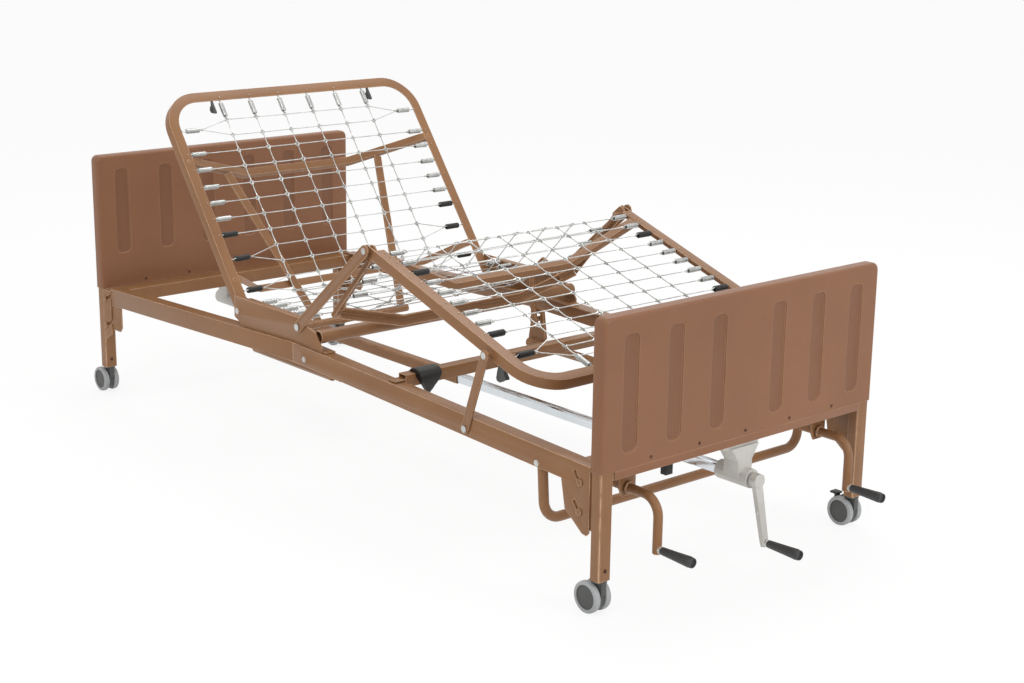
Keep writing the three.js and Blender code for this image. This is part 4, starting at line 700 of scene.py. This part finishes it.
backFrame = {
    "frame": (18, -672, -440, 110),  # open end, closed end, side, bend
    "stiffeners": [  # place, flange, half widths at the ends, bends and dip, depth of the dip
        (-448, -22, 438, 404, 184, 107),
        (-100, 22, 438, 402, 295, 97),
    ],
    "rivets": (-459, -89), "rivetSide": 424, "rivet": (5, 2.4),  # a rivet's radius and height
}


def makeBackFrame():
    bm = bmesh.new()
    bentFrame(bm, *backFrame["frame"])
    for bar in backFrame["stiffeners"]:
        stiffenerBar(bm, *bar)
    for side in (-1, 1):
        for x in backFrame["rivets"]:
            domeHead(bm, (x, side * backFrame["rivetSide"], iron["top"]), (0, 0, 1), *backFrame["rivet"])
    place = sectionPlaces["back"]
    finishPiece(bm, "back_angle_frame", "back_section", "brown_enamel", place, ("back_frame",))


backLug = {
    "side": 275, "half": 2, "hole": (-624, -10),
    "outline": [  # along the frame, height
        (-648, 6.8), (-606, 6.8), (-604, 2), (-612, -10), (-618, -17), (-626, -19), (-633, -14),
        (-636, -4), (-644, 0), (-648, 3),
    ],
    "boss": [(-3.4, 3.2), (-3.4, 6), (3.4, 6), (3.4, 3.2)],  # along the hole, radius
}


def makeBackLugs():
    bm = bmesh.new()
    half = backLug["half"]
    x, z = backLug["hole"]
    for side in (-1, 1):
        y = side * backLug["side"]
        plate(bm, [(along, y - half, up) for along, up in backLug["outline"]], (0, 2 * half, 0))
        turnProfile(bm, backLug["boss"] + backLug["boss"][:1], (x, y, z), (0, 1, 0), 16)
    finishPiece(bm, "back_frame_lugs", "back_section", "caster_plastic", sectionPlaces["back"])


calfFrame = {
    "half": 437, "frame": (22, 665, 437, 100), "stiffener": (77, -22, 435, 401, 195, 97),
    "ear": [(-14, 8), (-12, 10), (23, 10), (23, -18), (-8, -18), (-14, -12)],  # plate at the knee's pivot
    "boss": [(0, 0), (0, 7), (14, 7), (14, 0)],  # along the foot link's bolt, radius
    "bossPlace": (494, -8), "rivetPlace": (66, 421), "rivet": (5, 2.4),
}


def makeCalfFrame():
    bm = bmesh.new()
    bentFrame(bm, *calfFrame["frame"])
    stiffenerBar(bm, *calfFrame["stiffener"])
    bossX, bossZ = calfFrame["bossPlace"]
    rivetX, rivetY = calfFrame["rivetPlace"]
    for side in (-1, 1):
        outer = side * calfFrame["half"]
        inner = outer - (iron["sheet"] if side > 0 else 0)
        plate(bm, [(x, inner, z) for x, z in calfFrame["ear"]], (0, iron["sheet"], 0))
        turnProfile(bm, calfFrame["boss"], (bossX, outer, bossZ), (0, side, 0), 20)
        domeHead(bm, (rivetX, side * rivetY, iron["top"]), (0, 0, 1), *calfFrame["rivet"])
    place = sectionPlaces["calf"]
    finishPiece(bm, "calf_angle_frame", "calf_section", "brown_enamel", place, ("calf_frame",))


makeBackFrame()
makeBackLugs()
makeCalfFrame()
print("spring frames bent")


net = {
    "wire": 1.35, "sides": 4, "hookSides": 5, "ring": 6.0, "ringSteps": 8,
    "strands": [-250, -150, -50, 50, 150, 250],
    "hook": 14,  # length of a link's hooked end
    "coilRadius": 6.1, "coilWire": 1.25, "coilStart": 10.0, "coilLength": 42, "coilTurns": 18,
    "stepsPerTurn": 9,
    "reach": 68,  # from a spring's eye to its tip in the flange
    "eyeGrip": 3.5,  # how far a link reaches into a spring's eye
    "inset": 10,  # a spring that holds two rows sits this much further in
    "leastLink": 12,  # a spring nearer to its ring than this hooks straight on to it
    "wobble": 0.5, "lift": 0.3,  # how far a ring may sit from its even place, across and up
    "twist": 0.5, "tip": 0.25,  # how far it may turn, radians
    "seamShare": 0.42,  # share of the wires on either side of a hinge's middle that bends
}


def ringTemplate():
    bm = bmesh.new()
    section = [bm.verts.new((net["ring"] + a, 0, b)) for a, b in roundSection(net["wire"], net["sides"])]
    edges = [bm.edges.new(pair) for pair in zip(section, section[1:] + section[:1])]
    bmesh.ops.spin(
        bm, geom=section + edges, cent=(0, 0, 0), axis=(0, 0, 1), angle=fullTurn, steps=net["ringSteps"],
        use_merge=True,
    )
    return keepMesh(bm, "ring")


def hookEnd(at, way):  # the bend that grips a ring, from its tip on to the straight wire
    shape = [(7.5, -2.0), (2.4, -2.1), (2.4, 2.1), (8.5, 1.4)]
    return [(at + way * along, 0, up) for along, up in shape]


def linkTemplate(length):
    bm = bmesh.new()
    hook = net["hook"]
    path = hookEnd(0, 1) + [(hook, 0, 0), (length - hook, 0, 0)] + list(reversed(hookEnd(length, -1)))
    bendBar(bm, roundSection(net["wire"], net["sides"]), path, 1.2, 1, up=(0, 1, 0))
    return keepMesh(bm, "link")


def springTemplate():  # eye at the origin, body along +X, tip through the flange at its reach
    bm = bmesh.new()
    radius, body, end = net["coilRadius"], net["coilStart"], net["coilStart"] + net["coilLength"]
    coilRound = roundSection(net["coilWire"], net["sides"])
    start = bm.faces.new([bm.verts.new((body + a, 0, radius + b)) for a, b in coilRound])
    steps = net["coilTurns"] * net["stepsPerTurn"]
    spun = bmesh.ops.spin(
        bm, geom=list(start.edges), cent=(0, 0, 0), axis=(1, 0, 0), angle=fullTurn * net["coilTurns"],
        steps=steps, dvec=(net["coilLength"] / steps, 0, 0),
    )
    bmesh.ops.edgeloop_fill(bm, edges=edgesOf(spun["geom_last"]))
    hookRound = roundSection(net["wire"], net["hookSides"])
    eye = [(body + 1, 0, radius - 0.6), (body - 3, 0, 4.6), (0.5, 0, 1.2)]
    eye += [(x, y, -z) for x, y, z in reversed(eye)]
    bendBar(bm, hookRound, eye, 1.0, 2, up=(0, 1, 0))
    tip = [(end - 1, 0, radius - 0.6), (end + 2.5, 0, 2.5), (end + 6, 0, -1.2)]
    tip += [(net["reach"], 0, -1.2), (net["reach"], 0, 7.2)]
    bendBar(bm, hookRound, tip, 1.6, 2, up=(0, 1, 0))
    return keepMesh(bm, "spring")


def sleeveTemplate():  # dark plastic sleeve over a spring's body
    bm = bmesh.new()
    profile = [(8.5, 4.6), (8.5, 7.4), (10, 8.1), (52, 8.1), (53.5, 7.4), (53.5, 4.6)]
    turnProfile(bm, profile + profile[:1], (0, 0, 0), (1, 0, 0), 18)
    return keepMesh(bm, "sleeve")


ring = ringTemplate()
spring = springTemplate()
sleeve = sleeveTemplate()
linkCache = {}
netRings = {}  # where the outermost rows of each net lie in the frame


def cachedLink(length):
    key = round(length)
    if key not in linkCache:
        linkCache[key] = linkTemplate(length)
    return linkCache[key]


def between(first, second):  # places a template drawn along +X from one point to another
    first, second = Vector(first), Vector(second)
    run = (second - first).normalized()
    side = Vector((0, 0, 1)).cross(run).normalized()
    turn = Matrix((run, side, run.cross(side))).transposed().to_4x4()
    return Matrix.Translation(first) @ turn


def addLink(bm, first, second):
    stamp(bm, cachedLink((Vector(second) - Vector(first)).length), between(first, second))


def makeNet(name, body, node, place, z, rows, sprung, hook, sleeved=(), tied=(), endSprings=(), seed=1):
    chance = random.Random(seed)
    bm = bmesh.new()
    sleeves = bmesh.new()
    strands, reach, eyeGrip = net["strands"], net["reach"], net["eyeGrip"]
    wobble, lift, twist, tip = net["wobble"], net["lift"], net["twist"], net["tip"]
    nudge = {}
    for x in rows:
        for y in strands:
            along, across = x + chance.uniform(-wobble, wobble), y + chance.uniform(-wobble, wobble)
            nudge[x, y] = Vector((along, across, z + chance.uniform(-lift, lift)))
            turn = Matrix.Rotation(chance.uniform(-twist, twist), 4, "Z")
            turn = turn @ Matrix.Rotation(chance.uniform(-tip, tip), 4, "X")
            stamp(bm, ring, Matrix.Translation(nudge[x, y]) @ turn)
    for x in rows:
        for near, far in zip(strands, strands[1:]):
            addLink(bm, nudge[x, near], nudge[x, far])
    for y in strands:
        for before, after in zip(rows, rows[1:]):
            addLink(bm, nudge[before, y], nudge[after, y])
    springs = [(x, (x,), 0) for x in sprung]  # place, the rows that it holds, how far in it sits
    springs += [((first + second) / 2, (first, second), net["inset"]) for first, second in tied]
    for side in (-1, 1):
        for x, held, inset in springs:
            eye = Vector((x, side * (hook - reach - inset), z))
            for row in held:
                addLink(bm, nudge[row, side * strands[-1]], eye + Vector((0, side * eyeGrip, 0)))
            stamp(bm, spring, between(eye, (x, side * (hook - inset), z)))
            if inset:
                tail = [(x, side * (hook - 12), z - 1.2), (x, side * (hook + 1), z - 1.2)]
                bendBar(bm, roundSection(net["wire"], net["hookSides"]), tail, 0, 1)
            if x in sleeved:
                stamp(sleeves, sleeve, between(eye, (x, side * hook, z)))
    for y in strands:
        for row, end in endSprings:
            way = 1 if end > row else -1
            eye = Vector((end - way * reach, y, z))
            if abs(eye.x - row) > net["leastLink"]:
                addLink(bm, nudge[row, y], eye + Vector((way * eyeGrip, 0, 0)))
            stamp(bm, spring, between(eye, (end, y, z)))
    for x in (rows[0], rows[-1]):
        netRings[node, x] = [place @ nudge[x, y] for y in strands]
    finishPiece(bm, name, body, "zinc", place, (node,), 60)
    if len(sleeves.faces):
        finishPiece(sleeves, name + "_sleeves", body, "black_plastic", place, (), 40)
    else:
        sleeves.free()


# wires that cross a hinge, with a row of rings half way where asked
def makeSeam(name, firstRow, secondRow, middleRow=False):
    bm = bmesh.new()
    toWork = toFrame.inverted()
    starts = [toWork @ point for point in netRings[firstRow]]
    ends = [toWork @ point for point in netRings[secondRow]]
    middles = [(start + end) / 2 for start, end in zip(starts, ends)]
    for start, middle, end in zip(starts, middles, ends):
        if middleRow:
            stamp(bm, ring, Matrix.Translation(middle))
            addLink(bm, start, middle)
            addLink(bm, middle, end)
        else:
            addLink(bm, start, end)
    if middleRow:
        for near, far in zip(middles, middles[1:]):
            addLink(bm, near, far)
    piece = finishPiece(bm, name, None, "zinc", toFrame, (), 60)
    middle = Vector((middles[0].x, 0, middles[0].z))
    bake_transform(piece)


backRows = [-580, -530, -480, -430, -375, -325, -275, -225, -175, -125, -75, -30]
seatRows = [-300, -250, -200, -150, -100, -50, 0]
thighRows = [140, 200, 260, 320, 370]
calfRows = [40, 90, 140, 190, 240, 290, 340, 390, 440, 490, 540, 585]
thighDip = {"knee": 386, "height": -6.5, "fall": 32, "run": 264}  # this net slopes down from the knee's bar
thighNetPlace = (
    sectionPlaces["thigh"]
    @ Matrix.Translation((thighDip["knee"], 0, thighDip["height"]))
    @ Matrix.Rotation(-math.atan2(thighDip["fall"], thighDip["run"]), 4, "Y")
    @ Matrix.Translation((-thighDip["knee"], 0, 0))
)
makeNet(
    "back_wire_net", "back_section", "back_net", sectionPlaces["back"], 5.5, backRows, backRows[2:8],
    hook=420, sleeved=(-225, -150, -52.5), tied=((-580, -530), (-175, -125), (-75, -30)),
    endSprings=((-580, -650),), seed=3,
)
makeNet(
    "seat_wire_net", "base", "seat_net", sectionPlaces["seat"], 442.5, seatRows, seatRows[1:6],
    hook=434, seed=5,
)
makeNet(
    "thigh_wire_net", "thigh_section", "thigh_net", thighNetPlace, 0, thighRows, thighRows[1:4],
    hook=410, seed=7,
)
makeNet(
    "calf_wire_net", "calf_section", "calf_net", sectionPlaces["calf"], 5.5, calfRows, calfRows[:9],
    hook=417, sleeved=(140, 440, 537.5), tied=((490, 585),), endSprings=((585, 645),), seed=9,
)
makeSeam("back_seat_wires", ("seat_net", -300), ("back_net", -30))
makeSeam("seat_thigh_wires", ("seat_net", 0), ("thigh_net", 140), True)
makeSeam("thigh_calf_wires", ("thigh_net", 370), ("calf_net", 40))
print("wire nets woven")


wheel = {  # out from the middle between the pair, radius
    "tyre": [
        (8.6, 28), (8.6, 34), (9.4, 36.2), (11.6, 37.4), (19.4, 37.4), (22.3, 36.5), (23.9, 34.4),
        (24.4, 31.8), (24.2, 29.6), (23.3, 28.4),
    ],
    "disc": [
        (9.2, 0), (9.2, 28.2), (21.2, 28.3), (21.6, 27.4), (21.3, 24), (21.5, 17), (22.0, 10), (22.3, 6),
        (22.3, 0),
    ],
    "axle": [(-9, 0), (-9, 3.4), (9, 3.4), (9, 0)],
    "steps": 44,
}


def boxMiddle(node):  # a solid's middle in the frame, mm
    low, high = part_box(node)
    return Vector([(a + b) / 2 / millimetre for a, b in zip(low, high)])


def makeWheels(corner):
    bm = bmesh.new()
    node = "caster_wheels_" + corner
    middle = boxMiddle(node)
    for side in (-1, 1):
        turnProfile(bm, wheel["tyre"] + wheel["tyre"][:1], middle, (0, side, 0), wheel["steps"], 0)
        turnProfile(bm, wheel["disc"], middle, (0, side, 0), wheel["steps"], 1)
    turnProfile(bm, wheel["axle"], middle, (0, 1, 0), 12, 1)
    name = "wheels_" + corner
    finishPiece(bm, name, name, ("grey_tyre", "caster_plastic"), toFrame, (node,), 30)


grip = {
    "profile": [  # along the pin, radius
        (0.4, 5.3), (0, 5.8), (0, 8.2), (0.9, 9.0), (4, 9.3), (40, 10.8), (80, 12.8), (84.5, 13.0),
        (87, 12.6), (90, 12.1), (93.8, 11.9), (95, 11.2), (95, 9.8), (94.2, 9.1), (90.8, 8.7), (90.4, 0),
        (89.6, 0), (89.6, 5.3),
    ],
    "steps": 32,
}


def makeGrip(drive):
    bm = bmesh.new()
    node = drive + "_crank_grip"
    middle = boxMiddle(node)
    start = Vector((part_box(node)[0][0] / millimetre, middle.y, middle.z))
    turnProfile(bm, grip["profile"] + grip["profile"][:1], start, (1, 0, 0), grip["steps"])
    finishPiece(bm, drive + "_grip_sleeve", drive + "_grip", "black_rubber", toFrame, (node,), 40)


crank = {
    "across": {"back": -298, "knee": 360},  # where each of the two stands across the bed
    "tube": 11, "height": 249, "start": 959.5, "armX": 1137, "bottom": 121.4, "bend": 45, "pinHeight": 131,
    "pin": 4.5, "pinEnd": 1240, "pinEdge": 0.8, "collars": (1028.5, 1043.5), "sides": 24, "bendSteps": 12,
    "tubeEnd": [(-1, 10.9), (0.6, 10.8), (1.7, 9.8), (2.3, 7.5), (2.4, 0)],
    "collar": [(-2.5, 10.8), (-2.5, 14.2), (-1.9, 15), (1.9, 15), (2.5, 14.2), (2.5, 10.8)],
    "pinNeck": [(6, 0), (6, 7.4), (9.2, 8.0), (9.2, 9.0), (13.8, 9.0), (14.5, 8.3)],
}


def makePin(bm, shape, at, reach, steps):  # the rod that a grip turns on
    radius, edge = shape["pin"], shape["pinEdge"]
    neck = shape["pinNeck"]
    rod = [(neck[-1][0], radius), (reach - edge, radius), (reach, radius - edge), (reach, 0)]
    turnProfile(bm, neck + rod, at, (1, 0, 0), steps, 1)


def makeOuterCrank(drive, y):
    bm = bmesh.new()
    height, arm, low = crank["height"], crank["armX"], crank["bottom"]
    path = [(crank["start"], y, height), (arm, y, height), (arm, y, low)]
    bendBar(bm, roundSection(crank["tube"], crank["sides"]), path, crank["bend"], crank["bendSteps"])
    turnProfile(bm, crank["tubeEnd"], (arm, y, low), (0, 0, -1), crank["sides"])
    for x in crank["collars"]:
        turnProfile(bm, crank["collar"], (x, y, height), (1, 0, 0), 28)
    makePin(bm, crank, (arm, y, crank["pinHeight"]), crank["pinEnd"] - arm, 20)
    names = ("brown_enamel", "zinc")
    finishPiece(bm, drive + "_crank_bar", drive + "_drive", names, bedPlace, (drive + "_crank",), 34)


standBow = {  # "top" and "bottom": along the bed, height
    "tube": 12, "sides": 22, "bend": 45, "steps": 12, "top": (903.5, 316), "bottom": (914.5, 165),
    "half": 435.2,
}


def makeStandBow():
    bm = bmesh.new()
    (topX, topZ), (lowX, lowZ), half = standBow["top"], standBow["bottom"], standBow["half"]
    path = [(topX, -half, topZ), (lowX, -half, lowZ), (lowX, half, lowZ), (topX, half, topZ)]
    section = roundSection(standBow["tube"], standBow["sides"])
    bendBar(bm, section, path, standBow["bend"], standBow["steps"], up=(1, 0, 0))
    finishPiece(bm, "stand_bow_tube", "base", "brown_enamel", bedPlace, ("stand_bow",), 40)


saddle = {
    "middle": 355, "top": 378.3, "tipY": -346, "half": 34, "edge": 1.4,
    "outline": [  # across the member, height
        (-26, -10), (-22, -3), (-15, 3.4), (-5, 8), (5, 10.5), (15, 11), (24, 9), (31, 4), (35.5, -4),
        (37, -13), (36, -23), (32.5, -34), (28, -45), (24, -54), (21, -56), (18.5, -51), (16.8, -42),
        (15.6, -30), (15.5, -6), (13.5, -1), (10, 0.5), (-9, 0.5), (-13, -1), (-17.5, -6), (-22, -11),
    ],
    "claw": {"from": 14, "top": -8, "taper": 50, "least": 0.16},  # narrows downwards
    "nose": {"from": -12, "taper": 16, "least": 0.3},  # narrows outwards
}


def saddleWidth(x, z):  # share of the full width
    claw, nose = saddle["claw"], saddle["nose"]
    if x > claw["from"]:
        return max(claw["least"], 1 - max(0, claw["top"] - z) / claw["taper"])
    return max(nose["least"], min(1, 1 - (nose["from"] - x) / nose["taper"]))


def makeSaddleHook():
    bm = bmesh.new()
    middle, top, half = saddle["middle"], saddle["top"], saddle["half"]
    plate(bm, [(middle + x, -half, top + z) for x, z in saddle["outline"]], (0, 2 * half, 0))
    whole = bm.verts[:] + bm.edges[:] + bm.faces[:]
    bmesh.ops.bisect_plane(bm, geom=whole, plane_co=(0, 0, 0), plane_no=(0, 1, 0))
    for vert in bm.verts:
        share = saddleWidth(vert.co.x - middle, vert.co.z - top)
        vert.co.y = saddle["tipY"] + vert.co.y * share
    roundRims(bm, saddle["edge"])
    finishPiece(bm, "saddle_hook_moulding", "base", "black_plastic", bedPlace, ("saddle_hook",), 40)


castArm = {
    "hubX": 1158.5, "hubHalf": 12, "hub": 17, "bore": 10, "hubEdges": (1.6, 2), "shaft": 11,
    "shaftReach": 150, "height": 232, "endX": 1190.5, "endHeight": 90,
    "thick": 7, "topHalf": 13, "bottomHalf": 9,
    "lead": 6,  # the arm begins this far before the hub's middle
    "upper": (70, 0.84), "foot": (11, 0.8),  # length, share of the width that is left
    "edge": 2.4, "edgesFrom": 1144, "boltHeight": 158, "boltSide": 10.8, "bolt": (3.2, 2.2),
    "pin": 4.5, "pinEnd": 1291.5, "pinEdge": 0.8, "pinNeck": [(0, 0), (0, 8.6), (11.4, 8.6), (12.4, 7.6)],
}


def makeHeightCrank():
    bm = bmesh.new()
    hub, half, height = castArm["hub"], castArm["hubHalf"], castArm["height"]
    start, end = Vector((castArm["hubX"], 0, height)), Vector((castArm["endX"], 0, castArm["endHeight"]))
    back, front = castArm["hubEdges"]
    rod = [(-castArm["shaftReach"], 0), (-castArm["shaftReach"], castArm["shaft"])]
    rod.append((half - front, castArm["shaft"]))
    turnProfile(bm, rod, start, (1, 0, 0), 28, 1)
    body = [(-half, castArm["bore"]), (-half, hub - back), (back - half, hub)]
    body += [(half - front, hub), (half, hub - front), (half, 0)]
    turnProfile(bm, body, start, (1, 0, 0), 32)
    top, bottom, thick = castArm["topHalf"], castArm["bottomHalf"], castArm["thick"]
    run = (end - start).normalized()
    out = Vector((-run.z, 0, run.x))
    lead, (upper, narrowed) = castArm["lead"], castArm["upper"]
    ways = ((-1, -1), (1, -1), (1, 1), (-1, 1))
    corners = [start + out * a * thick + Vector((0, b * top, 0)) - run * lead for a, b in ways]
    face = bm.faces.new([bm.verts.new(corner) for corner in corners])
    edges = list(face.edges)
    lower = ((end - start).length - upper, bottom / top / narrowed)
    for along, share in ((lead, 1), (upper, narrowed), lower, castArm["foot"]):
        edges = stepLoop(bm, edges, start, (1, share, 1), run * along)
    bmesh.ops.edgeloop_fill(bm, edges=edges)
    arm = [
        edge for edge in bm.edges
        if len(edge.link_faces) == 2 and all(vert.co.x > castArm["edgesFrom"] for vert in edge.verts)
        and len(edge.link_faces[0].verts) == 4 and edge.calc_face_angle(0) > 1.2
    ]
    breakEdges(bm, arm, castArm["edge"], 3)
    share = (height - castArm["boltHeight"]) / (height - castArm["endHeight"])
    for side in (-1, 1):
        at = start.lerp(end, share) + Vector((0, side * castArm["boltSide"], 0))
        domeHead(bm, at, (0, side, 0), *castArm["bolt"], 14, 1)
    makePin(bm, castArm, tuple(end), castArm["pinEnd"] - castArm["endX"], 24)
    names = ("cast_aluminium", "zinc")
    finishPiece(bm, "height_crank_casting", "height_drive", names, bedPlace, ("height_crank",), 34)


centreTube = {"x": 42, "z": 411, "half": 441.4, "outer": 17.5, "inner": 15.3, "edge": 0.4}


def makeCentreTube():
    bm = bmesh.new()
    half, edge = centreTube["half"], centreTube["edge"]
    outer, inner = centreTube["outer"], centreTube["inner"]
    wall = [(-half, inner), (-half, outer - edge), (edge - half, outer)]
    wall += [(half - edge, outer), (half, outer - edge), (half, inner)]
    turnProfile(bm, wall + wall[:1], (centreTube["x"], 0, centreTube["z"]), (0, 1, 0), 36)
    finishPiece(bm, "centre_tube_turned", "base", "brown_enamel", bedPlace, ("centre_tube",), 40)


screws = {
    "panelHead": (4.0, 1.7), "postHead": (4.6, 3.0), "steps": 14,  # a head's radius and height
    "postHeight": 105, "postX": (1082.8, 1114.2), "postY": (415.7, 453.7),
}


def makeScrews():  # small dark heads on the panels and posts
    bm = bmesh.new()
    steps, z = screws["steps"], screws["postHeight"]
    low, high = screws["postY"]
    for end in (-1, 1):
        for side in (-1, 1):
            for y in panel["screws"]:
                at = (end * panelAlong + side * panel["halfDepth"], y, panel["screwHeight"])
                domeHead(bm, at, (side, 0, 0), *screws["panelHead"], steps)
    for end in (-1, 1):
        for side in (-1, 1):
            for x, way in zip(screws["postX"], (-1, 1)):
                at = (end * x, side * (low + high) / 2, z)
                domeHead(bm, at, (end * way, 0, 0), *screws["postHead"], steps)
            domeHead(bm, (end * panelAlong, side * low, z), (0, -side, 0), *screws["postHead"], steps)
    finishPiece(bm, "panel_and_post_screws", "base", "dark_steel", bedPlace)


calfStop = {
    "side": 433.7, "thick": 13, "edge": 1.2,
    "outline": [  # along the calf frame, height
        (522, 4), (546, 4), (546, -30), (555, -36), (558, -41), (552, -45), (547, -50), (541, -57),
        (531, -58), (526, -53), (524, -38),
    ],
}


def makeCalfStops():  # dark stops inside the calf frame's side irons
    bm = bmesh.new()
    for side in (-1, 1):
        outline = [(x, side * calfStop["side"], z) for x, z in calfStop["outline"]]
        plate(bm, outline, (0, -side * calfStop["thick"], 0))
    roundRims(bm, calfStop["edge"])
    finishPiece(bm, "calf_frame_stops", "calf_section", "caster_plastic", sectionPlaces["calf"])


ends = ("foot", "head")
sides = ("near", "far")
corners = [end + "_" + side for end in ends for side in sides]
for corner in corners:
    makeWheels(corner)
for drive in ("back", "knee", "height"):
    makeGrip(drive)
for drive, across in crank["across"].items():
    makeOuterCrank(drive, across)
makeStandBow()
makeSaddleHook()
makeHeightCrank()
makeCentreTube()
makeScrews()
makeCalfStops()
print("wheels, grips, cranks and hooks turned")

single = ("",)
softened = [  # solid, piece, what goes in their braces, finish, width of the broken edge, zinc heads beyond
    ("{}_gearbox", "{}_gear_casting", ends, "cast_aluminium", 1.6, None),
    ("foot_rail_{}", "foot_rail_{}_iron", sides, "brown_enamel", 0.7, 451.3),
    ("head_rail_{}", "head_rail_{}_iron", sides, "brown_enamel", 0.7, None),
    ("foot_link_{}", "foot_link_{}_bar", sides, "brown_enamel", 0.7, 456.4),
    ("thigh_link_{}", "thigh_link_{}_bar", sides, "brown_enamel", 0.7, 451.2),
    ("seat_plate_{}", "seat_plate_{}_pressing", sides, "brown_enamel", 0.6, 446.3),
    ("thigh_frame", "thigh_angle_frame", single, "brown_enamel", 0.7, None),
    ("knee_cross_member", "knee_cross_box", single, "brown_enamel", 1.2, None),
    ("{}_cross_angle", "{}_cross_iron", ends, "brown_enamel", 0.7, None),
    ("{}_end_frame", "{}_end_posts", ends, "brown_enamel", 1.2, None),
    ("{}_crank_bearing", "{}_bearing_bracket", crank["across"], "brown_enamel", 0.6, None),
    ("hanging_clip", "hanging_clip_moulding", single, "black_plastic", 0.8, None),
    ("caster_hood_{}", "{}_hood", corners, "caster_plastic", 0.9, None),
    ("brake_pedal_{}", "{}_brake_pedal", ("foot_far", "head_far"), "black_plastic", 0.8, None),
    ("drive_shaft_inner", "drive_shaft_inner_bar", single, "chrome", 1.0, None),
    ("drive_shaft_sleeve", "drive_shaft_sleeve_box", single, "brown_enamel", 1.0, None),
]
for node, piece, words, finish, width, beyond in softened:
    for word in words:
        soften(node.format(word), piece.format(word), finish, width, beyond)
print("solids with broken edges:", sum(len(row[2]) for row in softened))


def dressSolids():
    for name, node in nodes.items():
        for slot in node.material_slots:
            base = slot.material.name.split(".")[0] if slot.material else ""
            for finish in materials:
                if base.startswith(finish):
                    slot.material = materials[finish]
                    break
            else:
                print("no finish for", name, base)


dressSolids()
